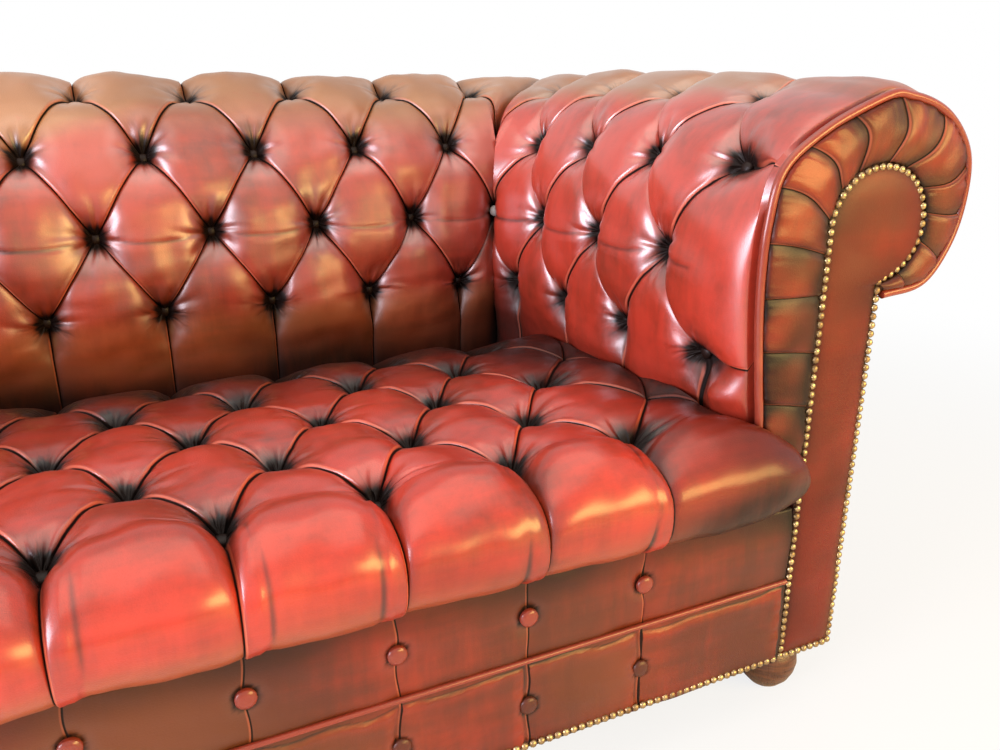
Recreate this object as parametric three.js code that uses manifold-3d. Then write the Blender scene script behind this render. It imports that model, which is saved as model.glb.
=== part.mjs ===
// Three-seat rolled-arm sofa with a deep-buttoned leather back, arms and seat.
// Millimetres, +Z up, +X to the sitter's left, the back towards +Y, origin on the floor under the middle.

import * as THREE from "three";
import { mergeVertices } from "three/addons/utils/BufferGeometryUtils.js";
import Module from "manifold-3d";

const wasm = await Module();
wasm.setup();

// Clearances and cutting
const seatGap = 0.3;
const overrun = 20;

// Buttons along the seat, back and arms
const seatPitch = 135;
const seatFirstRow = 39;
const seatRowPitch = 97.5;
const seatPitches = 9;
const backPitch = 143.1;
const backPitches = 10;
const cornerFill = 32;
const armPitch = 149.5;
const armPitches = 4;

// Heights above the floor
const footHeight = 88;
const railHeight = 146;
const borderHeight = 199;
const padFoot = 205;
const padHeight = 435;
const deckDrop = 5;

// Depths, measured back from the leather face of the front border
const lipReach = 45;
const backPlane = 584;
const seatBackEnd = 560;

// Widths: the arm buttons beyond the outermost seat button, and the rest out from the arm buttons
const armPlaneOut = 140;
const rollDepth = 264;
const legInner = 55;
const legOuter = 144;
const seatInset = 28;
const lipOverhang = 74;

// Timber and panels
const railThickness = 35;
const boardThickness = 28;
const paddingThickness = 12;
const panelThickness = 6;
const linerThickness = 3.5;
const pipingRadius = 4;
const springWire = 4;

const armCornerPitch = backPlane - paddingThickness - (armPitches - 1) * armPitch;
const outermostButton = (seatPitches / 2) * seatPitch;
const armPlane = outermostButton + armPlaneOut;
const overallDepth = lipReach + backPlane + rollDepth;
const frontFace = lipReach - overallDepth / 2;
const undersideZ = footHeight;
const frameZ = undersideZ + linerThickness + seatGap;
const railTopZ = frameZ + railHeight;
const padFootZ = undersideZ + padFoot;
const deckTopZ = padFootZ - deckDrop;
const borderTopZ = undersideZ + borderHeight;
const armFrontY = frontFace + paddingThickness;
const seatSide = armPlane - seatInset;
const lipSide = armPlane + lipOverhang;

// Finishes
const leather = { color: 0x8f2a22, roughness: 0.38, metalness: 0 };
const wornLeather = { color: 0x6f3420, roughness: 0.42, metalness: 0 };
const beech = { color: 0xc79a66, roughness: 0.7, metalness: 0 };
const darkWood = { color: 0x4a2a18, roughness: 0.45, metalness: 0 };
const steel = { color: 0x8a8c90, roughness: 0.4, metalness: 1 };
const hessian = { color: 0xa88a5c, roughness: 0.95, metalness: 0 };
const blackCloth = { color: 0x1c1b1a, roughness: 0.95, metalness: 0 };

const sofa = new THREE.Group();

// Add one named piece to the sofa.
function addPiece(name, geometry, finish) {
  const mesh = new THREE.Mesh(geometry, new THREE.MeshStandardMaterial(finish));
  mesh.name = name;
  sofa.add(mesh);
  return mesh;
}

// Add a right-hand piece and its mirror image.
function addPair(name, geometry, finish) {
  addPiece(`${name}_right`, geometry, finish);
  addPiece(`${name}_left`, mirrored(geometry), finish);
}

// A closed body from points and triangles, turned so that its faces point out.
function closedBody(points, triangles) {
  let volume = 0;
  for (const [a, b, c] of triangles) {
    volume += points[a].dot(points[b].clone().cross(points[c]));
  }
  const index = triangles.flatMap(([a, b, c]) => (volume < 0 ? [a, c, b] : [a, b, c]));
  const geometry = new THREE.BufferGeometry();
  geometry.setAttribute("position", new THREE.Float32BufferAttribute(points.flatMap((p) => p.toArray()), 3));
  geometry.setIndex(index);
  return geometry;
}

// Only places matter when bodies are joined, so everything else is dropped.
function merged(geometry) {
  const bare = geometry.clone();
  bare.deleteAttribute("normal");
  bare.deleteAttribute("uv");
  return mergeVertices(bare);
}

function mirrored(geometry) {
  const bare = merged(geometry);
  const place = bare.getAttribute("position");
  const points = [];
  for (let i = 0; i < place.count; i += 1) {
    points.push(new THREE.Vector3(-place.getX(i), place.getY(i), place.getZ(i)));
  }
  const triangles = [];
  for (let i = 0; i < bare.index.count; i += 3) {
    triangles.push([bare.index.getX(i), bare.index.getX(i + 1), bare.index.getX(i + 2)]);
  }
  return closedBody(points, triangles);
}

function toManifold(geometry) {
  const bare = merged(geometry);
  const vertProperties = new Float32Array(bare.getAttribute("position").array);
  const triVerts = new Uint32Array(bare.index.array);
  return new wasm.Manifold(new wasm.Mesh({ numProp: 3, vertProperties, triVerts }));
}

function fromManifold(solid) {
  const mesh = solid.getMesh();
  const geometry = new THREE.BufferGeometry();
  geometry.setAttribute("position", new THREE.BufferAttribute(new Float32Array(mesh.vertProperties), 3));
  geometry.setIndex(new THREE.BufferAttribute(new Uint32Array(mesh.triVerts), 1));
  return geometry;
}

function cut(geometry, tools) {
  let solid = toManifold(geometry);
  for (const tool of tools) {
    solid = solid.subtract(toManifold(tool));
  }
  return fromManifold(solid);
}

function joined(geometry, others) {
  let solid = toManifold(geometry);
  for (const other of others) {
    solid = solid.add(toManifold(other));
  }
  return fromManifold(solid);
}

// A squared block between two corners.
function block(x0, x1, y0, y1, z0, z1) {
  const geometry = new THREE.BoxGeometry(x1 - x0, y1 - y0, z1 - z0);
  return geometry.translate((x0 + x1) / 2, (y0 + y1) / 2, (z0 + z1) / 2);
}

// The same block with a clearance all round, as a cutting tool.
function socketFor(x0, x1, y0, y1, z0, z1) {
  return block(x0 - seatGap, x1 + seatGap, y0 - seatGap, y1 + seatGap, z0 - seatGap, z1 + seatGap);
}

// Triangles over a flat outline, each turned the way that the outline runs.
function endCap(outline) {
  const way = Math.sign(THREE.ShapeUtils.area(outline));
  return THREE.ShapeUtils.triangulateShape(outline, []).map(([a, b, c]) => {
    const turn = Math.sign(THREE.ShapeUtils.area([outline[a], outline[b], outline[c]]));
    return turn === way ? [a, b, c] : [a, c, b];
  });
}

// Skin a row of rings that share one number of points, and close both ends.
// The outline of the ends is triangulated flat, from the first and last rings' own outline.
function skinned(rings, firstOutline, lastOutline, liesOnPleat) {
  const count = rings[0].length;
  const points = rings.flat();
  const triangles = [];
  for (let i = 0; i + 1 < rings.length; i += 1) {
    for (let j = 0; j < count; j += 1) {
      const k = (j + 1) % count;
      const [a, b, c, d] = [i * count + j, i * count + k, (i + 1) * count + k, (i + 1) * count + j];
      if (liesOnPleat(i, j)) {
        triangles.push([a, b, c], [a, c, d]);
      } else {
        triangles.push([a, b, d], [b, c, d]);
      }
    }
  }
  const last = (rings.length - 1) * count;
  triangles.push(...endCap(firstOutline).map(([a, b, c]) => [a, c, b]));
  triangles.push(...endCap(lastOutline).map((corners) => corners.map((corner) => last + corner)));
  return closedBody(points, triangles);
}

// Stuffing height over a diamond lattice of buttons, as a share of the full crown.
// A button lies where across and up are whole together, or both half way.
const pleatDepthShare = 0.42;

function diamondShare(across, up) {
  const p = Math.abs(Math.sin(Math.PI * (across + up / 2)));
  const q = Math.abs(Math.sin(Math.PI * (across - up / 2)));
  const pit = (1 - p) * (1 - q);
  const pleat = Math.max(1 - p, 1 - q);
  return 1 - pit - pleatDepthShare * pleat * (1 - pit);
}

// Stuffing height between straight pleats at whole numbers.
function fluteShare(across) {
  return 1 - pleatDepthShare * (1 - Math.abs(Math.sin(Math.PI * across)));
}

// How far a line between two places of the lattice lies from a pleat.
function offPleat([across0, up0], [across1, up1]) {
  const away = (turn) => Math.abs(Math.sin(Math.PI * turn));
  const falling = away(across0 + up0 / 2) + away(across1 + up1 / 2);
  const rising = away(across0 - up0 / 2) + away(across1 - up1 / 2);
  return Math.min(falling, rising);
}

// Whether a cell of the lattice is split from its first corner to the opposite one.
function splitsForward(across, nextAcross, up, nextUp) {
  const forward = offPleat([across, up], [nextAcross, nextUp]);
  return forward < offPleat([across, nextUp], [nextAcross, up]);
}

// The rolled section that the back and both arms share, from the deck over the roll and under it.
// Each row: depth behind the buttons, height, crown, and the row of the button lattice.
// Depth and crown are shares of rollDepth, and height is a share of padHeight.
const rollShares = [
  { depth: -0.023, height: 0, crown: 0.02, row: -3 },
  { depth: 0, height: 0.218, crown: 0.09, row: -2 },
  { depth: -0.021, height: 0.372, crown: 0.129, row: -1 },
  { depth: -0.015, height: 0.49, crown: 0.136, row: -0.5 },
  { depth: 0, height: 0.605, crown: 0.136, row: 0 },
  { depth: 0.042, height: 0.724, crown: 0.136, row: 0.5 },
  { depth: 0.12, height: 0.83, crown: 0.136, row: 1 },
  { depth: 0.273, height: 0.932, crown: 0.136, row: 1.5 },
  { depth: 0.472, height: 0.993, crown: 0.129, row: 2 },
  { depth: 0.644, height: 0.986, crown: 0.098, row: 3 },
  { depth: 0.803, height: 0.931, crown: 0.076, row: 4 },
  { depth: 0.902, height: 0.851, crown: 0.068, row: 5 },
  { depth: 0.932, height: 0.747, crown: 0.061, row: 6 },
  { depth: 0.879, height: 0.637, crown: 0.045, row: 7 },
  { depth: 0.758, height: 0.563, crown: 0.03, row: 8 },
  { depth: 0.583, height: 0.54, crown: 0, row: 9 },
];

// Where the same rows lie on the front edge of an arm, which the piping follows.
const armFrontShares = [
  { depth: -0.015, height: 0 },
  { depth: -0.027, height: 0.23 },
  { depth: -0.053, height: 0.372 },
  { depth: -0.072, height: 0.49 },
  { depth: -0.08, height: 0.605 },
  { depth: -0.068, height: 0.724 },
  { depth: -0.011, height: 0.846 },
  { depth: 0.182, height: 0.931 },
  { depth: 0.424, height: 0.991 },
  { depth: 0.621, height: 1 },
  { depth: 0.833, height: 0.956 },
  { depth: 0.977, height: 0.862 },
  { depth: 1, height: 0.747 },
  { depth: 0.947, height: 0.628 },
  { depth: 0.811, height: 0.531 },
  { depth: 0.583, height: 0.51 },
];

// The timber that the roll is stuffed over, from under the roll back to the deck.
const coreShares = [
  { depth: 0.568, height: 0.568 },
  { depth: 0.705, height: 0.6 },
  { depth: 0.803, height: 0.678 },
  { depth: 0.811, height: 0.782 },
  { depth: 0.72, height: 0.885 },
  { depth: 0.492, height: 0.922 },
  { depth: 0.295, height: 0.857 },
  { depth: 0.167, height: 0.724 },
  { depth: 0.114, height: 0.54 },
  { depth: 0.098, height: 0.372 },
  { depth: 0.098, height: 0 },
];

function sectionPoints(shares) {
  return shares.map(({ depth, height }) => new THREE.Vector2(depth * rollDepth, padFootZ + height * padHeight));
}

// Unit vectors square to a section line, on its left-hand side.
function sectionNormals(points) {
  return points.map((point, i) => {
    const before = points[Math.max(i - 1, 0)];
    const after = points[Math.min(i + 1, points.length - 1)];
    const along = after.clone().sub(before).normalize();
    return new THREE.Vector2(-along.y, along.x);
  });
}

const rollLine = sectionPoints(rollShares);
const rollNormals = sectionNormals(rollLine);
const armFrontLine = sectionPoints(armFrontShares);
const coreLine = sectionPoints(coreShares);
const coreNormals = sectionNormals(coreLine);

// How far the stuffing stands at one place: flutes above and below the diamonds.
const cornerCrownShare = 0.3;
const lowestDiamondRow = -1;
const highestDiamondRow = 2;

function rollCrownShare(across, row) {
  if (row < lowestDiamondRow) {
    return fluteShare(across + 0.5);
  }
  if (row > highestDiamondRow) {
    return fluteShare(across);
  }
  return diamondShare(across, row);
}

// One ring round the stuffing: the outer rows, then the timber line with its clearance.
// Across counts pitches from the corner button, where the back and the arm meet in a deep crease.
function paddedOutline(across) {
  const inCorner = across === 0;
  const outer = rollLine.map((point, i) => {
    const { crown, row } = rollShares[i];
    const share = inCorner ? cornerCrownShare * Math.abs(Math.sin(Math.PI * row)) : rollCrownShare(across, row);
    return point.clone().addScaledVector(rollNormals[i], share * crown * rollDepth);
  });
  const inner = coreLine.map((point, i) => point.clone().addScaledVector(coreNormals[i], -seatGap));
  return [...outer, ...inner];
}

const columnsPerPitch = 4;
const armFrontPitches = 0.5;

// The creased corner stands in from the arm by cornerFill at the buttons, and not at all outside the roll.
function cornerOut(depth) {
  return armPlane + depth - cornerFill * (1 - depth / rollDepth);
}

// Cells of the stuffing are split along the pleat that crosses them.
function rollPleat(acrossAt) {
  return (i, j) => {
    if (j + 1 >= rollShares.length) {
      return true;
    }
    return splitsForward(acrossAt(i), acrossAt(i + 1), rollShares[j].row, rollShares[j + 1].row);
  };
}

// The back is one long pad whose ends are mitred into the arms.
function backPad() {
  const columns = backPitches * columnsPerPitch;
  const half = backPitches / 2;
  const pitchAt = (i) => i / columnsPerPitch - half;
  const rings = [];
  for (let i = 0; i <= columns; i += 1) {
    const place = Math.abs(pitchAt(i));
    const side = Math.sign(pitchAt(i));
    const outline = paddedOutline(half - place);
    const lastShare = Math.max(place - (half - 1), 0);
    rings.push(outline.map(({ x: depth, y: height }) => {
      const straight = Math.min(place, half - 1) * backPitch;
      const out = THREE.MathUtils.lerp(straight, cornerOut(depth) - seatGap, lastShare);
      return new THREE.Vector3(side * out, frontFace + backPlane + depth, height);
    }));
  }
  const end = paddedOutline(0);
  return skinned(rings, end, end, rollPleat((i) => half - Math.abs(pitchAt(i))));
}

// An arm pad runs from the mitred corner to the piped front edge.
function armPad() {
  const columns = armPitches * columnsPerPitch;
  const acrossAt = (i) => i / columnsPerPitch;
  const frontLine = [...armFrontLine, ...paddedOutline(1).slice(rollShares.length)];
  const outlines = [];
  const rings = [];
  for (let i = 0; i <= columns; i += 1) {
    const across = acrossAt(i);
    const frontShare = Math.max(0, across - (armPitches - armFrontPitches)) / armFrontPitches;
    const outline = paddedOutline(across).map((point, j) => point.lerp(frontLine[j], frontShare ** 2));
    outlines.push(outline);
    const cornerShare = Math.max(0, 1 - across);
    const fromCorner = Math.min(across, 1) * armCornerPitch + Math.max(across - 1, 0) * armPitch;
    rings.push(outline.map(({ x: depth, y: height }) => {
      const back = backPlane - fromCorner + cornerShare * depth;
      const out = THREE.MathUtils.lerp(armPlane + depth, cornerOut(depth) + seatGap, cornerShare ** 2);
      return new THREE.Vector3(out, frontFace + back, height);
    }));
  }
  return skinned(rings, outlines[0], outlines[columns], rollPleat(acrossAt));
}

// The seat section, from under the front lip over the crowns to the back, and home along the deck.
// Rows before the first buttons go by shares of lipReach, the rest by the row pitch, up to seatBackEnd.
// Height and crown are shares of seatCrownHeight above the deck.
const seatCrownHeight = 85;
const seatShares = [
  { reach: -0.22, height: 0.01, crown: 0, row: -3 },
  { reach: 0.4, height: 0.1, crown: 0.07, row: -2.5 },
  { reach: 0.72, height: 0.38, crown: 0.14, row: -2 },
  { reach: 0.62, height: 0.8, crown: 0.27, row: -1.5 },
  { reach: 0.1, height: 1.0, crown: 0.42, row: -1 },
  { height: 0.98, crown: 0.47, row: 0 },
  { height: 1.02, crown: 0.47, row: 0.5 },
  { height: 1.02, crown: 0.47, row: 1 },
  { height: 1.01, crown: 0.47, row: 1.5 },
  { height: 0.99, crown: 0.47, row: 2 },
  { height: 0.97, crown: 0.47, row: 2.5 },
  { height: 0.95, crown: 0.46, row: 3 },
  { height: 0.93, crown: 0.45, row: 3.5 },
  { height: 0.91, crown: 0.43, row: 4 },
  { height: 0.88, crown: 0.38, row: 4.5 },
  { height: 0.82, crown: 0.2, row: 5 },
  { height: 0.66, crown: 0, row: 6 },
  { height: 0, crown: 0, row: 7 },
];
const lipEndDrop = 9;
const lipRows = 5;
const lipEndShares = [0, 0.86, 1, 0.93, 0.1];
const topDiamondRow = 5;

function seatCrownShare(across, row) {
  const beyond = Math.abs(across) > seatPitches / 2;
  if (row < 0) {
    return fluteShare(across + 0.5);
  }
  if (beyond) {
    return fluteShare(row / 2);
  }
  return row > topDiamondRow ? 0 : diamondShare(across + 0.5, row);
}

function seatDepth({ reach, row }) {
  if (row < 0) {
    return -reach * lipReach;
  }
  return row > topDiamondRow ? seatBackEnd : seatFirstRow + row * seatRowPitch;
}

function seatPad() {
  const line = seatShares.map((place) => {
    return new THREE.Vector2(seatDepth(place), deckTopZ + seatGap + place.height * seatCrownHeight);
  });
  const normals = sectionNormals(line);
  const reach = Math.floor((seatSide / seatPitch) * columnsPerPitch);
  const columns = [];
  for (let i = -reach; i <= reach; i += 1) {
    columns.push(i / columnsPerPitch);
  }
  columns.push(seatSide / seatPitch);
  columns.unshift(-seatSide / seatPitch);
  const outlines = columns.map((across, i) => line.map((point, j) => {
    const atEnd = i === 0 || i === columns.length - 1;
    const { crown, row } = seatShares[j];
    const share = atEnd ? 0 : seatCrownShare(across, row);
    const place = point.clone().addScaledVector(normals[j], share * crown * seatCrownHeight);
    if (atEnd && j < lipRows) {
      place.x += lipEndDrop * lipEndShares[j];
    }
    return place;
  }));
  const rings = columns.map((across, i) => outlines[i].map(({ x: depth, y: height }, j) => {
    const atEnd = i === 0 || i === columns.length - 1;
    const out = Math.abs(across) * seatPitch;
    const extra = atEnd && j < lipRows ? (lipSide - seatSide) * lipEndShares[j] : 0;
    return new THREE.Vector3(Math.sign(across) * (out + extra), frontFace + depth, height);
  }));
  const pleatAt = (i, j) => {
    if (j + 1 >= seatShares.length || seatShares[j].row < 0) {
      return true;
    }
    return splitsForward(columns[i] + 0.5, columns[i + 1] + 0.5, seatShares[j].row, seatShares[j + 1].row);
  };
  const pad = skinned(rings, outlines[0], outlines[columns.length - 1], pleatAt);
  const inner = seatSide + seatGap;
  const far = lipSide + overrun;
  const cutFront = frontFace - borderBulge - seatGap;
  const armRoom = [-1, 1].map((side) => block(
    Math.min(side * inner, side * far), Math.max(side * inner, side * far),
    cutFront, frontFace + seatBackEnd, undersideZ, undersideZ + padHeight,
  ));
  return cut(pad, [...armRoom, ...seatCorners()]);
}

// The seat's back corners are cut away where the corner stuffing stands in.
function seatCorners() {
  const reach = 2 * cornerFill;
  return [-1, 1].map((side) => {
    const corner = new THREE.Shape();
    corner.moveTo(side * (seatSide - cornerFill), frontFace + seatBackEnd + overrun);
    corner.lineTo(side * (seatSide + overrun), frontFace + seatBackEnd + overrun);
    corner.lineTo(side * (seatSide + overrun), frontFace + seatBackEnd - reach - overrun);
    corner.lineTo(side * (seatSide - cornerFill), frontFace + seatBackEnd);
    corner.closePath();
    const tool = new THREE.ExtrudeGeometry(corner, { depth: padHeight, bevelEnabled: false });
    return tool.translate(0, 0, undersideZ);
  });
}

// The buttoned border below the lip: flat bays between pleats, in two tiers parted by a welt.
const borderBulge = 4;
const weltHeight = 107;
const weltRadius = 3;
const tierRows = 2;
const railButtonRadius = 9.5;
const railButtonDepth = 5;
const railButtonSides = 8;
const upperButtonHeight = 155;
const lowerButtonHeight = 52;
const endBayShare = 0.4;
const borderSide = armPlane + legInner - seatGap;

// The dome of a covered button, in shares of its radius and depth.
const domeShares = [
  { radius: 1, depth: 0.33 },
  { radius: 0.8, depth: 0.8 },
  { radius: 0.4, depth: 1 },
];

function domedButton(x, z) {
  const profile = [
    new THREE.Vector2(0, -paddingThickness / 2),
    new THREE.Vector2(railButtonRadius, -paddingThickness / 2),
    ...domeShares.map(({ radius, depth }) => new THREE.Vector2(radius * railButtonRadius, depth * railButtonDepth)),
    new THREE.Vector2(0, railButtonDepth),
  ];
  const button = new THREE.LatheGeometry(profile, railButtonSides);
  return button.rotateX(Math.PI / 2).translate(x, frontFace, z);
}

function frontBorder() {
  const columns = [-borderSide];
  for (let i = -seatPitches; i <= seatPitches; i += 1) {
    columns.push((i / 2) * seatPitch);
  }
  columns.push(borderSide);
  const tiers = [[0, weltHeight], [weltHeight, borderHeight]];
  const backY = armFrontY - seatGap;
  const rings = columns.map((x) => {
    const bay = Math.abs(Math.cos(Math.PI * (x / seatPitch)));
    const onSeam = Math.abs(x) > outermostButton ? endBayShare : 1 - bay;
    const front = [];
    for (const [low, high] of tiers) {
      for (let j = low > 0 ? 1 : 0; j <= tierRows; j += 1) {
        const rise = j / tierRows;
        const puff = borderBulge * onSeam * Math.sin(Math.PI * rise);
        front.push(new THREE.Vector3(x, frontFace - puff, undersideZ + low + (high - low) * rise));
      }
    }
    const top = new THREE.Vector3(x, backY, borderTopZ);
    const foot = new THREE.Vector3(x, backY, undersideZ);
    return [...front, top, foot];
  });
  const outline = rings[0].map(({ y, z }) => new THREE.Vector2(y, z));
  const panel = skinned(rings, outline, outline, () => true);
  const buttons = [];
  for (let k = 0; k <= seatPitches; k += 1) {
    const x = (k - seatPitches / 2) * seatPitch;
    buttons.push(domedButton(x, undersideZ + upperButtonHeight));
    buttons.push(domedButton(x, undersideZ + lowerButtonHeight));
  }
  return joined(panel, buttons);
}

// Sides and steps of the round things: cords, wire, bolts and feet
const cordSides = 8;
const pipingSides = 6;
const pipingSteps = 44;
const wireSides = 4;
const boltSides = 12;
const footSides = 18;

function roundSection(radius, sides) {
  const shape = new THREE.Shape();
  for (let i = 0; i < sides; i += 1) {
    const turn = (2 * Math.PI * i) / sides;
    shape[i === 0 ? "moveTo" : "lineTo"](radius * Math.cos(turn), radius * Math.sin(turn));
  }
  shape.closePath();
  return shape;
}

function tube(path, radius, sides, steps) {
  return new THREE.ExtrudeGeometry(roundSection(radius, sides), { steps, extrudePath: path, bevelEnabled: false });
}

function borderWelt() {
  const y = frontFace - weltRadius - seatGap;
  const z = undersideZ + weltHeight;
  const path = new THREE.LineCurve3(new THREE.Vector3(-borderSide, y, z), new THREE.Vector3(borderSide, y, z));
  return tube(path, weltRadius, cordSides, 1);
}

// The nailed facing: a leg that opens into a round scroll.
// The scroll leaves these widths of gathered border inside the arm's front edge.
const gatherInner = 84;
const gatherOuter = 61;
const gatherTop = 68;
const gatherUnder = 17;
const legFootInset = 5.5;
const nailMargin = 0.8;
const scrollSegments = 16;
const frontDepths = armFrontShares.map(({ depth }) => depth * rollDepth);
const scrollInner = Math.min(...frontDepths) + gatherInner;
const scrollOuter = Math.max(...frontDepths) - gatherOuter;
const scrollLow = padFoot + armFrontShares.at(-1).height * padHeight + gatherUnder;
const scrollHigh = padFoot + padHeight - gatherTop;
const scrollAcross = (scrollOuter - scrollInner) / 2;
const scrollUp = (scrollHigh - scrollLow) / 2;
const scrollCentreDepth = (scrollInner + scrollOuter) / 2;
const scrollCentreHeight = (scrollLow + scrollHigh) / 2;
const scrollLegTurn = -Math.acos((legOuter - scrollCentreDepth) / scrollAcross);

function facingShape() {
  const centreZ = undersideZ + scrollCentreHeight;
  const shape = new THREE.Shape();
  shape.moveTo(armPlane + legInner, undersideZ);
  shape.lineTo(armPlane + legOuter - legFootInset, undersideZ);
  shape.lineTo(armPlane + legOuter, centreZ + scrollUp * Math.sin(scrollLegTurn));
  const centreX = armPlane + scrollCentreDepth;
  shape.absellipse(centreX, centreZ, scrollAcross, scrollUp, scrollLegTurn, Math.PI, false, 0);
  shape.closePath();
  return shape;
}

// Stand a flat outline up in the XZ plane and give it a thickness towards +Y.
function uprightPanel(shape, y, thickness, curveSegments) {
  const panel = new THREE.ExtrudeGeometry(shape, { depth: thickness, bevelEnabled: false, curveSegments });
  return panel.rotateX(Math.PI / 2).translate(0, y + thickness, 0);
}

function facing() {
  const thickness = paddingThickness - seatGap;
  return uprightPanel(facingShape(), frontFace, thickness, scrollSegments);
}

// The gathered border between the facing and the piping, pleated towards the scroll.
const borderStations = 48;
const pleatStations = 3;
const ridgeHeight = 4;
const ridgeFallShare = 0.5;
const legPoints = 5;
const scrollPoints = 12;

function facingEdge() {
  const points = [];
  const centreZ = undersideZ + scrollCentreHeight;
  for (let i = 0; i < legPoints; i += 1) {
    const share = i / legPoints;
    const z = THREE.MathUtils.lerp(padFootZ, centreZ, share);
    const rise = (z - undersideZ) / scrollCentreHeight;
    const x = THREE.MathUtils.lerp(legInner, scrollCentreDepth - scrollAcross, rise);
    points.push(new THREE.Vector2(x, z));
  }
  for (let i = 0; i <= scrollPoints; i += 1) {
    const turn = THREE.MathUtils.lerp(Math.PI, scrollLegTurn, i / scrollPoints);
    points.push(new THREE.Vector2(
      scrollCentreDepth + scrollAcross * Math.cos(turn), centreZ + scrollUp * Math.sin(turn),
    ));
  }
  return new THREE.SplineCurve(points);
}

function insetLine(line, inset) {
  const normals = sectionNormals(line);
  return line.map((point, i) => point.clone().addScaledVector(normals[i], -inset));
}

function gatheredBorder() {
  const outer = new THREE.SplineCurve(insetLine(armFrontLine, 2 * pipingRadius + seatGap));
  const inner = facingEdge();
  const backY = armFrontY - seatGap;
  const rings = [];
  for (let i = 0; i <= borderStations; i += 1) {
    const share = i / borderStations;
    const a = outer.getPointAt(share);
    const b = inner.getPointAt(share);
    const along = inner.getTangentAt(share);
    b.add(new THREE.Vector2(-along.y, along.x).multiplyScalar(nailMargin));
    const pastPleat = i % pleatStations;
    const ridge = pastPleat === 0 ? 0 : ridgeHeight * ridgeFallShare ** (pastPleat - 1);
    const middle = a.clone().lerp(b, 0.5);
    const at = (point, y) => new THREE.Vector3(armPlane + point.x, y, point.y);
    rings.push([
      at(a, frontFace), at(middle, frontFace - ridge), at(b, frontFace), at(b, backY), at(a, backY),
    ]);
  }
  const foot = rings[0].map(({ x, y }) => new THREE.Vector2(x, -y));
  const end = rings[borderStations].map(({ y, z }) => new THREE.Vector2(y, z));
  return skinned(rings, foot, end, () => true);
}

function armPiping() {
  const line = insetLine(armFrontLine, pipingRadius);
  const y = armFrontY - pipingRadius - 2 * seatGap;
  const path = new THREE.CatmullRomCurve3(line.map((point) => new THREE.Vector3(armPlane + point.x, y, point.y)));
  return tube(path, pipingRadius - seatGap, pipingSides, pipingSteps);
}

// Timber formers: the scroll head on a leg, used upright at the arm fronts, arm backs and along the back.
function formerShape() {
  const shape = new THREE.Shape();
  shape.moveTo(legInner, frameZ);
  shape.lineTo(legInner, padFootZ);
  for (const point of [...coreLine].reverse()) {
    shape.lineTo(point.x, point.y);
  }
  shape.lineTo(legOuter, coreLine[0].y);
  shape.lineTo(legOuter, frameZ);
  shape.closePath();
  return shape;
}

// Top rails run the length of each roll and are housed in the formers' heads.
const topRailWidth = 90;
const topRailDepthShare = 0.55;
const topRailHeightShare = 0.8;
const topRailInner = topRailDepthShare * rollDepth - topRailWidth / 2;
const topRailOuter = topRailInner + topRailWidth;
const topRailLow = padFootZ + topRailHeightShare * padHeight - railThickness / 2;
const topRailZ = [topRailLow, topRailLow + railThickness];

function armTopRailSides() {
  const back = frontFace + backPlane + topRailInner - seatGap;
  return [armPlane + topRailInner, armPlane + topRailOuter, armFrontY + boardThickness + seatGap, back, ...topRailZ];
}

function backTopRailSides() {
  const side = armPlane + topRailOuter;
  const y = frontFace + backPlane;
  return [-side, side, y + topRailInner, y + topRailOuter, ...topRailZ];
}

function armFormer(y, tools) {
  const former = uprightPanel(formerShape(), y, boardThickness, 1).translate(armPlane, 0, 0);
  return cut(former, tools);
}

function backFormer(x) {
  const former = new THREE.ExtrudeGeometry(formerShape(), { depth: boardThickness, bevelEnabled: false });
  former.rotateX(Math.PI / 2).rotateZ(Math.PI / 2).translate(x - boardThickness / 2, frontFace + backPlane, 0);
  return cut(former, [socketFor(...backTopRailSides())]);
}

// Seat frame: rails between the formers' legs.
const backRailFront = backPlane + legInner - seatGap - railThickness;
const sideRailOuter = armPlane + legInner - seatGap;
const sideRailInner = sideRailOuter - railThickness;
const frontRailBack = armFrontY + railThickness;
const stretcherHeight = 60;

function frontRail() {
  return block(-sideRailOuter, sideRailOuter, armFrontY, frontRailBack, frameZ, railTopZ);
}

function backRail() {
  const y = frontFace + backRailFront;
  return block(-sideRailOuter, sideRailOuter, y, y + railThickness, frameZ, railTopZ);
}

function sideRail() {
  const back = frontFace + backRailFront - seatGap;
  return block(sideRailInner, sideRailOuter, frontRailBack + seatGap, back, frameZ, railTopZ);
}

function stretcher(x) {
  const back = frontFace + backRailFront - seatGap;
  const half = railThickness / 2;
  return block(x - half, x + half, frontRailBack + seatGap, back, frameZ, frameZ + stretcherHeight);
}

// Stuffed roll that raises the front edge from the rail to the deck.
function edgeRoll() {
  return block(-seatSide, seatSide, armFrontY, frontRailBack, railTopZ + seatGap, deckTopZ);
}

// Sinuous springs arch from the front rail to the back rail.
const springCount = 9;
const springWave = 48;
const springHalfWidth = 26;
const springArch = 26;
const springStepsPerWave = 6;

function seatSpring(x) {
  const start = frontRailBack + springWire;
  const end = frontFace + backRailFront + railThickness / 2;
  const low = railTopZ + springWire / 2 + seatGap;
  const length = end - start;
  const waves = Math.round(length / springWave);
  const points = [new THREE.Vector3(x, start, low)];
  const steps = 2 * waves;
  for (let i = 1; i < steps; i += 1) {
    const share = i / steps;
    const side = [0, 1, 0, -1][i % 4];
    const z = low + springArch * Math.sin(Math.PI * share);
    points.push(new THREE.Vector3(x + side * springHalfWidth, start + share * length, z));
  }
  points.push(new THREE.Vector3(x, end, low));
  const route = new THREE.CatmullRomCurve3(points);
  return tube(route, springWire / 2, wireSides, Math.round((waves * springStepsPerWave) / 2));
}

function seatDeck() {
  const low = railTopZ + springWire + 2 * seatGap + springArch;
  const back = frontFace + backRailFront + railThickness;
  return block(-seatSide, seatSide, frontRailBack + seatGap, back, low, deckTopZ);
}

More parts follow.
